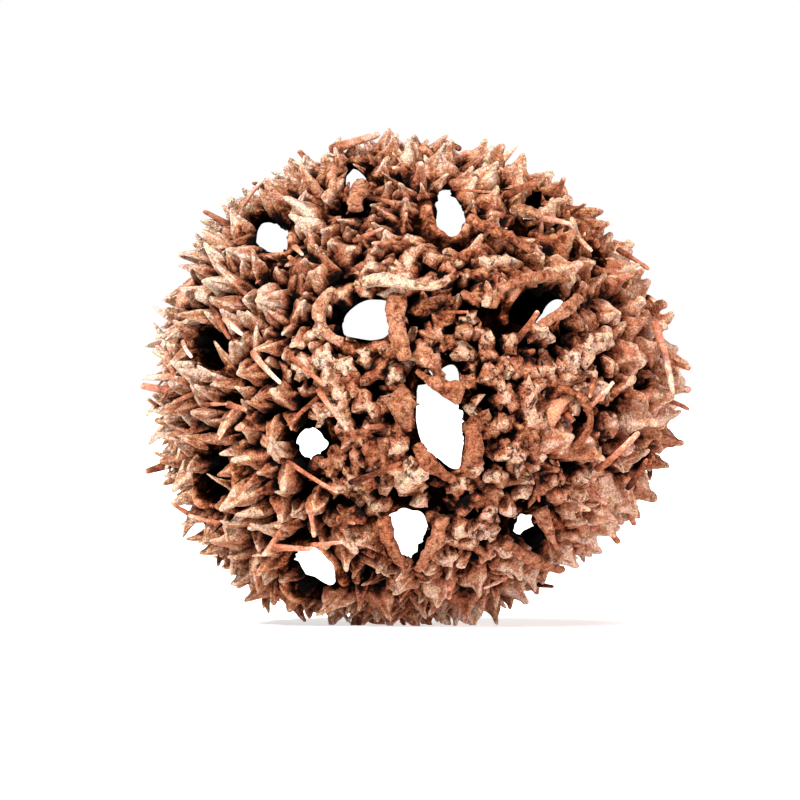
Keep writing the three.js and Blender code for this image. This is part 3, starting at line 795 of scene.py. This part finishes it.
def foot_radius(places):
    """How deep each scale starts: at the wall, or above whatever daylight passes there."""
    foot = np.full(len(places), SCALE_FOOT)
    for _ in range(24):
        foot = np.where(in_daylight(places * foot[:, None]), foot + 0.1, foot)
    return foot


def drawn_in(middles, spoke, out):
    """Half widths, with each ring drawn in for as long as one of its corners is in daylight."""
    for _ in range(7):
        corners = (middles + spoke * out[..., None]).reshape(-1, 3)
        blocked = in_daylight(corners).reshape(out.shape).any(axis=2, keepdims=True)
        out = np.where(blocked, 0.75 * out, out)
    return out


def scale_grids(places, number, tip_radius, half_width):
    """Scales shaped (scale, ring, side, 3), their end points, and how deep each corner lies in a
    fold. A ring's half width is the profile's share of the scale's half width, folded and
    flattened round its path. The path leans more and more on its way up. On a rubbed scale the
    top rises and falls with the folds, and its middle may sink into a pit."""
    rubbed, left, right = (share[:, None] for share in region_shares(places, number))
    profile = (FLASK * (1 - rubbed - left - right) + STAR * rubbed + FINGER * left + THORN * right)
    along, aside = crossways(places, pick(number, 13, 0, 2 * math.pi))
    turn = 2 * math.pi * np.arange(SCALE_SIDES) / SCALE_SIDES
    lobes = np.round(pick(number, 51, 2.6, 4.6))[:, None, None]
    phase = pick(number, 54, 0, 2 * math.pi)[:, None, None] + 0.5 * RINGS_UP[:, None]
    uneven = turn + 0.45 * np.sin(turn + 2.3 * phase)
    fold = folds(uneven, lobes, phase, chance(number, 60)[:, None, None] < 0.75)
    evenness = 1 - 0.25 * rubbed - 0.1 * left - 0.25 * right
    depth = pick(number, 52, 0.35, 0.75)[:, None] * evenness * FOLDING
    flatness = pick(number, 53, 0.0, 0.26)[:, None, None]
    section = 1 + flatness * np.cos(2 * turn + phase) + depth[..., None] * (fold - 0.45)
    size = (half_width[:, None] * profile)[..., None]
    out = size * section
    crown = np.sin(math.pi * np.clip((RINGS_UP - 0.35) / 0.65, 0, 1))[:, None]
    lift = 0.5 * (fold - 0.6) * crown * rubbed[..., None] * half_width[:, None, None]
    pit = np.where(chance(number, 56) < 0.55, 0.5, -0.05)[:, None] * rubbed
    lift = lift - (pit * np.clip((RINGS_UP - 0.8) / 0.2, 0, 1))[..., None]
    lean = pick(number, 14, 0.3, 1.1) + np.where(chance(number, 61) < 0.35, 0.7, 0)
    bend = lean[:, None] * (1 + 0.6 * left - 0.4 * rubbed) * np.clip(RINGS_UP - 0.2, 0, 1) ** 1.8
    foot = foot_radius(places)[:, None]
    height = foot + (tip_radius[:, None] - foot) * RINGS_UP
    spoke = spokes(along, aside, turn)
    path = places[:, None] * height[..., None] + along[:, None] * bend[..., None]
    grid = path[:, :, None] + places[:, None, None] * lift[..., None]
    grid = grid + spoke * drawn_in(grid, spoke, out)[..., None]
    roughness = 0.5 + (0.7 * rubbed + 0.25 * right - 0.1 * left)[..., None]
    swell = roughness * (0.8 * size * lumps(grid, LUMP_SIZE)
                         + 0.6 * np.minimum(size, 0.5) * lumps(grid, LUMP_SIZE / 2))
    grid = grid + spoke * swell[..., None] + places[:, None, None] * (0.5 * swell)[..., None]
    low = places * (foot - 0.1)
    high = grid[:, -1].mean(axis=1) + places * np.where(pit > 0.1, -0.12, 0.05)
    return grid, np.stack([low, high], axis=1), (1 - fold) * np.maximum(FOLDING[:, None], crown)


LOWERING = 0.12
LOWEST_TIP = 12.6


def out_of_sight(places, tip_radius, half_width):
    """Tip radii lowered, a little at a time, while a scale's tip widened by its half width would
    stand in the daylight of a mouth, seen along Y."""
    for mouth in np.flatnonzero(mouth_through):
        axis = mouth_axis[mouth]
        basis = np.stack([mouth_along[mouth][[0, 2]], mouth_aside[mouth][[0, 2]]], axis=1)
        same_side = places[:, 1] * axis[1] > 0
        spread = 0.7 if axis[1] < 0 else 1.3
        margin = 1 + spread * half_width / np.linalg.norm(basis, axis=0).min()
        for _ in range(14):
            seen = places[:, [0, 2]] * tip_radius[:, None] - axis[[0, 2]] * RIM_RADIUS
            shares = seen @ np.linalg.inv(basis).T
            blocks = same_side & (np.hypot(*shares.T) < margin) & (tip_radius > LOWEST_TIP)
            tip_radius = np.where(blocks, tip_radius - LOWERING, tip_radius)
    return tip_radius


def scale_piece(name, places, number, tip_radius, half_width):
    """One mesh of many scales, with painted shade darkening the folds and gaps, each with its own
    tint.
    On the rubbed side the painted shade follows a scale's own height more than the distance from the
    ball's middle."""
    grid, poles, crease = scale_grids(places, number, tip_radius, half_width)
    points, quads, triangles = closed_stack(clear_daylight(grid), clear_daylight(poles))
    worn = region_shares(places, number)[0]
    radius = np.linalg.norm(grid, axis=3)
    # Painted shade: rise is low near the wall, below each rubbed scale's own tip, and in the folds'
    # creases, so the colour there is painted dark.
    rise = np.clip((radius - 12.35) / 1.15, 0, 1) ** 0.8
    own_rise = np.clip((radius - tip_radius[:, None, None] + 1.0) / 0.85, 0, 1)
    rise = rise + 0.8 * worn[:, None, None] * (own_rise - rise) - 0.42 * crease + 0.08
    pole_rise = np.stack([np.zeros(len(places)), rise[:, -1].mean(axis=1)], axis=1)
    attributes = {"rise": np.concatenate([rise.ravel(), pole_rise.ravel()]),
                  "tint": for_each_point(pick(number, 57, 0, 1), grid),
                  "worn": for_each_point(worn, grid)}
    return new_piece(name, points, quads, triangles, attributes, scale_wood, 0)


LEAST_HEIGHT = 0.5
SMALL_SCALE_DRAWS = 2000  # small scales are numbered from here, so that they draw other numbers


def scale_pieces(name, places, number, tips, tip_shifts, widths, width_shifts):
    """Two meshes that share out the scales tall enough to be worth growing. A scale's tip radius
    and half width are drawn between two numbers. The rubbed side, the left and the right then
    shift the tip by that many millimetres and the width by that share."""
    regions = region_shares(places, number)
    width = pick(number, 11, *widths) * (1 + np.dot(width_shifts, regions))
    tip = out_of_sight(places, pick(number, 12, *tips) + np.dot(tip_shifts, regions), width)
    grown = np.flatnonzero(tip - foot_radius(places) > LEAST_HEIGHT)
    return [scale_piece(f"{name}_{part + 1}", places[some], number[some], tip[some], width[some])
            for part, some in enumerate(np.array_split(grown, 2))]


large_scales = scale_pieces("large_scales", main_places, np.arange(len(main_places)),
                            tips=(TIP_RADIUS, TIP_RADIUS - 0.75), tip_shifts=(-0.25, 0.2, 0.3),
                            widths=(0.62, 0.92), width_shifts=(-0.18, -0.44, 0.3))
small_scales = scale_pieces("small_scales", small_places,
                            np.arange(len(small_places)) + SMALL_SCALE_DRAWS,
                            tips=(13.2, 14.1), tip_shifts=(-0.1, 0.35, -0.35),
                            widths=(0.4, 0.68), width_shifts=(0.08, -0.24, 0.05))

# %% [markdown]
# ## Spines and snapped pegs
# Long spines stand out between the scales, and many pegs have snapped and lie where they fell,
# wedged across their neighbours. Each is a rod whose section narrows along a bowed path, with a
# pale broken end. Those on the near side lie where they do on the fruit; the others are spread.

# %% Spines
SPINE_FOOT = 12.1
SPINE_STEPS = np.array([0.0, 0.2, 0.45, 0.7, 0.88, 0.985])
SPINE_SIDES = 8
FRONT_SPINES = [  # root x, z, tip x, z, radius of the root and of the tip, thickness, bow
    (-7.1, 1.5, -5.1, -0.2, 13.9, 14.5, 0.32, 0.1),
    (-5.5, -0.4, -3.9, -2.6, 14.0, 14.5, 0.34, 0.1),
    (-7.1, -4.2, -4.4, -5.9, 13.9, 14.5, 0.36, 0.1),
    (-3.8, -5.4, -1.0, -4.3, 14.0, 14.4, 0.34, 0.2),
    (-7.9, -8.6, -5.7, -8.8, 14.3, 14.3, 0.42, 0.0),
    (-5.75, -8.6, -4.1, -8.5, 14.4, 14.4, 0.3, 0.0),
    (-5.9, -6.4, -5.6, -8.2, 13.9, 14.4, 0.32, 0.0),
    (-9.0, 1.6, -7.45, -0.1, 13.8, 14.4, 0.34, 0.2),
    (1.7, 10.4, 4.0, 10.3, 14.2, 14.2, 0.22, 0.0),
    (-3.6, 7.5, -2.0, 8.2, 13.9, 14.4, 0.3, 0.0),
    (-4.9, 12.6, -2.2, 13.5, 13.9, 14.3, 0.42, 0.0),
    (4.6, 10.1, 6.5, 11.1, 13.8, 14.5, 0.5, 0.1),
    (6.1, 9.0, 8.4, 8.7, 13.7, 14.3, 0.5, 0.1),
    (8.2, 8.5, 9.5, 7.2, 13.9, 14.3, 0.38, 0.0),
    (9.5, -4.8, 11.8, -2.7, 13.9, 14.6, 0.45, 0.1),
    (8.8, -1.6, 10.4, 0.0, 13.7, 14.5, 0.36, 0.1),
    (13.0, 3.4, 13.8, -0.7, 14.0, 14.4, 0.4, 0.1),
    (7.4, 9.7, 8.1, 11.5, 12.6, 14.9, 0.5, 0.1),
    (8.4, 9.5, 9.3, 10.0, 13.0, 14.9, 0.34, 0.0),
    (9.5, 8.2, 10.7, 9.0, 12.9, 14.9, 0.46, 0.0),
    (12.6, 0.9, 15.0, 0.8, 12.9, 14.75, 0.45, 0.0),
    (12.8, 1.6, 14.9, 0.7, 13.0, 14.8, 0.34, 0.0),
    (-12.6, 0.3, -15.0, 0.2, 12.7, 14.8, 0.5, 0.0),
    (-12.9, -0.6, -14.9, -0.2, 13.0, 14.8, 0.4, 0.0),
    (-11.2, 4.4, -10.2, 2.3, 13.7, 14.2, 0.36, 0.2),
    (-10.5, 3.4, -9.5, 2.5, 14.0, 14.3, 0.3, 0.1),
    (-12.7, 2.2, -12.2, 1.3, 13.9, 14.2, 0.3, 0.1),
    (-13.1, 3.2, -14.4, 4.1, 13.4, 14.9, 0.36, 0.0),
    (-12.4, -0.8, -13.3, -1.6, 14.0, 14.4, 0.26, 0.0),
    (-11.5, -1.2, -10.3, -1.2, 14.2, 14.3, 0.24, 0.0),
    (-9.9, -1.6, -10.7, -3.1, 14.0, 14.4, 0.26, 0.0),
    (-10.3, -1.2, -9.3, -1.5, 14.1, 14.4, 0.28, 0.0),
    (-13.5, -1.7, -14.5, -0.9, 13.6, 14.8, 0.34, 0.0),
]
SPREAD_SPINES = 26
SPREAD_SPINE = (0.42, 0.25)  # thickness and bow
SNAPPED_PEGS = 60
SNAPPED_PEG = (0.3, 0.05)  # thickness and bow


def on_front(x, z, radius):
    """A point on the near side, from its place as seen and its radius."""
    right, up = x / STRETCH[0], z / STRETCH[2]
    return np.array([right, -math.sqrt(max(radius**2 - right**2 - up**2, 0)), up])


def spread_spines():
    """Roots and tips of the long spines on the even spiral, as in the plain model."""
    index = np.arange(SPREAD_SPINES)
    places = onto_rims(spiral(SPREAD_SPINES), 0.85)
    along, _ = crossways(places, pick(index, 31, 0, 2 * math.pi))
    reach = SPINE_RADIUS - pick(index, 32, 0, 0.3)
    tips = places * reach[:, None] + along * pick(index, 33, 0.4, 1.6)[:, None]
    length = np.linalg.norm(tips, axis=1, keepdims=True)
    return places * SPINE_FOOT, tips * np.minimum(1, SPINE_RADIUS / length)


def snapped_pegs():
    """Both ends of broken pegs that lie across the scales, kept clear of every mouth."""
    index = np.arange(SNAPPED_PEGS)
    middles = unit(spiral(SNAPPED_PEGS) + 0.12 * rough.standard_normal((SNAPPED_PEGS, 3)))
    lying, _ = crossways(middles, pick(index, 34, 0, 2 * math.pi))
    half = 0.5 * pick(index, 35, 0.9, 2.2)[:, None]
    low = unit(middles * 13.6 - lying * half) * pick(index, 36, 13.3, 13.9)[:, None]
    high = unit(middles * 13.9 + lying * half) * pick(index, 38, 13.9, 14.5)[:, None]
    clear = np.minimum(clear_of_mouths(middles, 0.5), clear_of_mouths(unit(high), 0.2)) > 1
    return low[clear], high[clear]


def rod_grids(roots, tips, thick, bow, steps, sides):
    """Rods shaped (rod, step, side, 3): circles along a path that bows outwards, narrowing."""
    axis = unit(tips - roots)
    along, aside = crossways(axis, np.full(len(roots), 0.6))
    outward = unit(roots + tips)
    turn = 2 * math.pi * np.arange(sides) / sides
    path = (roots[:, None] + (tips - roots)[:, None] * steps[:, None]
            + outward[:, None] * (bow[:, None] * np.sin(math.pi * steps))[..., None])
    taper = 1.2 - 0.5 * steps
    half = 0.5 * thick[:, None] * taper * (1 + 0.12 * rough.standard_normal((len(roots), len(steps))))
    spoke = spokes(along, aside, turn)
    wobble = 1 + 0.12 * rough.standard_normal((len(roots), 1, sides))
    grid = path[:, :, None] + spoke * (half[..., None] * wobble)[..., None]
    poles = np.stack([roots - 0.02 * axis, tips + 0.02 * axis], axis=1)
    return grid, poles


def rod_piece(name, roots, tips, thick, bow, tint, material):
    """One mesh of many rods, paler towards their tips."""
    grid, poles = rod_grids(roots, tips, thick, bow, SPINE_STEPS, SPINE_SIDES)
    points, quads, triangles = closed_stack(grid, poles)
    rise = np.broadcast_to((0.45 + 0.5 * SPINE_STEPS)[None, :, None], grid.shape[:3])
    rise = np.concatenate([rise.ravel(), np.tile([0.5, 1.2], len(roots))])
    attributes = {"rise": rise, "tint": for_each_point(tint, grid)}
    return new_piece(name, points, quads, triangles, attributes, material, 1)


front = np.array([[*on_front(x0, z0, r0), *on_front(x1, z1, r1), thick, bow]
                  for x0, z0, x1, z1, r0, r1, thick, bow in FRONT_SPINES])
far_roots, far_tips = spread_spines()
peg_roots, peg_tips = snapped_pegs()
roots = np.concatenate([front[:, :3], far_roots, peg_roots])
tips = np.concatenate([front[:, 3:6], far_tips, peg_tips])
index = np.arange(len(roots))
sizes = np.concatenate([front[:, 6:], np.tile(SPREAD_SPINE, (SPREAD_SPINES, 1)),
                        np.tile(SNAPPED_PEG, (len(peg_roots), 1))])
thick, bow = sizes[:, 0] * pick(index, 37, 0.8, 1.2), sizes[:, 1]
spines = rod_piece("spines", roots, tips, thick, bow, pick(index, 58, -0.8, 1.2), spine_wood)

# %% [markdown]
# ## Scraps in a mouth
# One mouth on the near right is choked with amber scraps, what is left of seeds that never
# filled. They are short, thick rods laid any way, and every other one lies deep and is painted
# dark, as painted shade.

# %% Scraps
SCRAP_MOUTH = 12  # its place in the list of mouths
SCRAPS = 26
DEEP_SCRAP_RADIUS = 11.3
HALF_SCRAP = 0.35
# Thin and waxy, so that the edges glint like resin
amber_chaff = scurfy_wood("glossy_amber_chaff", [
    (0.0, "#1c0a04"), (0.3, "#6a2c10"), (0.6, "#b05a2c"), (1.0, "#dc9c70")],
    relief=0.3, gloss=0.8, crumbling=0.0)
axis = mouth_axis[SCRAP_MOUTH]
index = np.arange(SCRAPS)
deep = index % 2
turn = np.where(deep, pick(index, 43, 0, 2 * math.pi), pick(index, 43, 2.0, 4.6))
out = np.where(deep, np.sqrt(chance(index, 44)), pick(index, 44, 0.3, 0.9))[:, None]
right = unit(np.cross([0.0, 0.0, 1.0], axis))
middle = axis * np.where(deep, DEEP_SCRAP_RADIUS, pick(index, 45, 12.2, 12.9))[:, None] + out * (
    right * np.cos(turn)[:, None] + np.cross(axis, right) * np.sin(turn)[:, None])
lie = HALF_SCRAP * unit(rough.standard_normal((SCRAPS, 3)))
# Painted shade: the deep scraps get a tint far below the others, which paints them dark.
scraps = rod_piece("amber_scraps", middle - lie, middle + lie, pick(index, 46, 0.4, 0.75),
                   np.zeros(SCRAPS), np.where(deep, -1.6, pick(index, 47, -0.6, 1)), amber_chaff)

# %% [markdown]
# ## Pieces that catch the eye
# A bleached spine lies bent over the first mouth, a bark-like twig lies near the top, and round
# the larger mouths stand valves, lips, flakes and a few fingers that show at first sight. These
# are rods again, with their own path and thickness, because they are as large as the scales.

# %% Bent rods
BAR_STEPS = 20
BAR_SIDES = 14
BAR_SQUARENESS = 0.6  # 1 is a round section, and less fills its corners
BAR_LUMPS = ((1.0, 2), (0.45, 3), (0.2, 2))  # size in millimetres, and share
# Name, points x, z, radius along the middle line, half widths there, paleness, roughness
BARS = [
    ("bleached_spine", [(-3.0, 5.3, 13.7), (-2.0, 5.5, 14.2), (-1.1, 5.25, 14.4),
                        (-0.05, 5.0, 14.4), (0.7, 5.2, 14.45), (1.5, 5.5, 14.5)],
     (0.3, 0.4, 0.32, 0.24, 0.22, 0.2), 1.0, 0.1),
    ("twig", [(2.6, 8.8, 14.0), (4.3, 8.0, 14.2), (6.1, 7.1, 14.1)], (0.26, 0.3, 0.2), 0.3, 0.3),
    ("first_right_plate", [(-1.2, 4.5, 13.4), (-1.25, 3.0, 13.9), (-0.8, 1.2, 13.8)],
     (0.5, 0.5, 0.4), 0.5, 0.16),
    ("first_left_valve", [(-4.6, 4.9, 13.3), (-5.4, 3.9, 13.7), (-5.2, 2.8, 13.6), (-4.2, 2.1, 13.4)],
     (0.25, 0.34, 0.3, 0.26), 0.7, 0.16),
    ("upper_lip", [(-0.2, 0.55, 13.7), (0.9, -0.1, 14.1), (2.1, -0.6, 13.9)],
     (0.15, 0.42, 0.5), 0.5, 0.2),
    ("upper_knob", [(-0.1, 1.6, 13.4), (0.6, 0.9, 13.8), (1.0, 0.2, 13.5)],
     (0.5, 0.55, 0.4), 0.6, 0.4),
    ("right_valve", [(2.6, -2.2, 13.4), (2.85, -3.3, 13.8), (2.8, -4.2, 13.6), (2.5, -5.0, 13.1)],
     (0.3, 0.42, 0.45, 0.25), 0.4, 0.16),
    ("left_valve", [(-0.9, -0.5, 13.3), (-1.0, -1.3, 13.9), (-0.7, -2.4, 13.5)],
     (0.3, 0.6, 0.25), 0.5, 0.3),
    ("lower_left_valve", [(-0.2, -3.4, 13.2), (0.5, -4.4, 13.6), (1.8, -5.3, 13.4)],
     (0.3, 0.4, 0.25), 0.3, 0.2),
    ("third_left_lip", [(-1.9, -7.2, 13.3), (-1.6, -8.6, 13.9), (-0.8, -9.9, 13.8)],
     (0.3, 0.36, 0.2), 0.3, 0.2),
    ("third_right_lip", [(1.2, -7.2, 13.3), (0.7, -8.6, 13.9), (0.0, -9.9, 13.8)],
     (0.32, 0.44, 0.2), 0.5, 0.2),
    ("ninth_lower_lip", [(6.4, 3.0, 13.6), (7.6, 3.7, 13.9), (8.6, 4.6, 13.7)],
     (0.25, 0.36, 0.28), 0.6, 0.2),
    ("ninth_upper_lip", [(4.3, 4.9, 13.5), (6.0, 5.6, 13.9), (8.0, 5.6, 13.6)],
     (0.25, 0.32, 0.25), 0.5, 0.2),
    ("tenth_lower_lip", [(4.6, -8.8, 13.7), (6.4, -10.0, 13.9), (8.1, -10.8, 14.1)],
     (0.32, 0.36, 0.22), 0.4, 0.15),
    ("tenth_tooth", [(6.5, -7.0, 13.4), (7.0, -8.1, 13.9), (7.6, -9.3, 14.3)],
     (0.42, 0.3, 0.12), 0.5, 0.2),
    ("top_left_finger", [(-5.1, 9.7, 13.7), (-4.6, 10.3, 14.0), (-4.15, 10.9, 14.2)],
     (0.35, 0.3, 0.12), 0.7, 0.1),
    ("top_thin_finger", [(-3.95, 9.7, 13.6), (-3.95, 10.2, 13.9), (-3.85, 10.7, 14.0)],
     (0.16, 0.14, 0.08), 0.2, 0.1),
    ("top_right_flake", [(-3.4, 9.2, 13.7), (-3.35, 10.0, 14.0), (-3.15, 10.75, 14.1)],
     (0.45, 0.5, 0.35), 0.5, 0.2),
    ("top_far_right_flake", [(5.2, 9.5, 13.6), (5.8, 9.3, 14.0), (6.5, 9.1, 14.0)],
     (0.35, 0.35, 0.3), 0.7, 0.2),
    ("choked_mouth_lip", [(7.4, -0.4, 13.4), (8.7, -1.0, 13.9), (9.1, -2.3, 13.9), (8.0, -3.6, 13.4)],
     (0.2, 0.22, 0.2, 0.18), 0.3, 0.2),
]


def bar_piece(name, middle, half_width, pale, roughness):
    """A rod along a curve of third degree or less near the given points, with its half width
    blended between theirs, a section between a circle and a square, and lumps."""
    line = np.array([on_front(x, z, radius) for x, z, radius in middle])
    knots = np.linspace(0, 1, len(line))
    step = np.linspace(0, 1, BAR_STEPS)
    order = min(3, len(line) - 1)
    path = np.stack([np.polyval(np.polyfit(knots, line[:, k], order), step) for k in range(3)], axis=1)
    width = np.interp(step, knots, half_width)
    run = unit(np.gradient(path, axis=0))
    aside = unit(np.cross(run, unit(path)))
    turn = 2 * math.pi * np.arange(BAR_SIDES) / BAR_SIDES
    wide, deep = (np.sign(part) * np.abs(part) ** BAR_SQUARENESS
                  for part in (np.cos(turn), np.sin(turn)))
    spoke = aside[:, None] * wide[:, None] + 0.8 * np.cross(aside, run)[:, None] * deep[:, None]
    grid = path[:, None] + spoke * width[:, None, None]
    lump = sum(share * lumps(grid, size) for size, share in BAR_LUMPS)
    swell = width[:, None] * roughness * lump
    grid = (grid + spoke * swell[..., None])[None]
    poles = np.stack([path[0] - 0.3 * width[0] * run[0], path[-1] + 0.3 * width[-1] * run[-1]])[None]
    points, quads, triangles = closed_stack(grid, poles)
    levels = {"rise": 0.55 + 0.3 * pale, "tint": pale, "worn": 0.6}
    attributes = {label: np.full(len(points), level) for label, level in levels.items()}
    return new_piece(name, points, quads, triangles, attributes, scale_wood, 0)


bars = [bar_piece(*bar) for bar in BARS]

# %% [markdown]
# ## Floor and light
# A plain white floor runs out of sight, and the camera sees a white sky behind it. On the ball
# itself the sky shines only weakly, and so does the floor, which glows a little as lit paper
# does. One small, strong lamp from the upper left in front makes the bright flanks and the black
# gaps. A broad, weaker one from the right keeps the thorns there readable, and one from above
# brightens the top.

# %% Floor, sky and lamps
def soft_sun(name, direction, strength, colour, softness):
    """A distant lamp that shines along a direction, with the width of its disc in degrees."""
    lamp = bpy.data.lights.new(name, "SUN")
    lamp.energy = strength
    lamp.color = linear(colour)[:3]
    lamp.angle = math.radians(softness)
    thing = bpy.data.objects.new(name, lamp)
    bpy.context.scene.collection.objects.link(thing)
    yaw = math.atan2(-direction[0], direction[1])
    tilt = math.acos(-direction[2] / math.sqrt(sum(d * d for d in direction)))
    thing.rotation_euler = (tilt, 0, yaw)
    return thing


soft_sun("key_lamp", (0.42, 0.60, -0.68), strength=6.4, colour="#fffaf4", softness=2)
soft_sun("fill_lamp", (-0.75, 0.62, -0.12), strength=2.7, colour="#fff4ee", softness=30)
soft_sun("top_lamp", (-0.1, 0.35, -0.93), strength=2.0, colour="#fffaf6", softness=30)

SKY_LIGHT = 0.14
PAPER_GLOW = 0.65
FLOOR_HALF = 20.0

world = bpy.data.worlds.new("white_room")
world.use_nodes = True
world.node_tree.nodes.clear()
bpy.context.scene.world = world
add = partial(add_node, world.node_tree)
direct = add("LightPath", out="Is Camera Ray")
strength = add("MapRange", {"To Min": SKY_LIGHT, "To Max": 1.0}, {"Value": direct})
sky = add("Background", {"Color": (1, 1, 1, 1)}, {"Strength": strength})
add("OutputWorld", {}, {"Surface": sky})

paper, add = new_material("matt_white_paper")
sheet = add("BsdfPrincipled", {"Base Color": linear("#f4f3f1"), "Roughness": 1.0,
                               "Specular IOR Level": 0.0, "Emission Color": linear("#ffffff"),
                               "Emission Strength": PAPER_GLOW})
add("OutputMaterial", {}, {"Surface": sheet})
floor_mesh = bpy.data.meshes.new("floor")
corners = [(x * FLOOR_HALF, y * FLOOR_HALF, 0) for x, y in ((-1, -1), (1, -1), (1, 1), (-1, 1))]
floor_mesh.from_pydata(corners, [], [(0, 1, 2, 3)])
floor_mesh.materials.append(paper)
floor = bpy.data.objects.new("floor", floor_mesh)
bpy.context.scene.collection.objects.link(floor)
print("lamps:", len(bpy.data.lights))
bpy.context.scene.view_settings.view_transform = "Standard"

# %% [markdown]
# ## Hand over to the frame
# All pieces belong to the one fixed body, and the capsules' walls with their scales stand for
# the plain ball.

# %% Finish
for piece in [capsules, spines, scraps, *large_scales, *small_scales, *bars]:
    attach(piece, "root")
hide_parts("seed_ball")
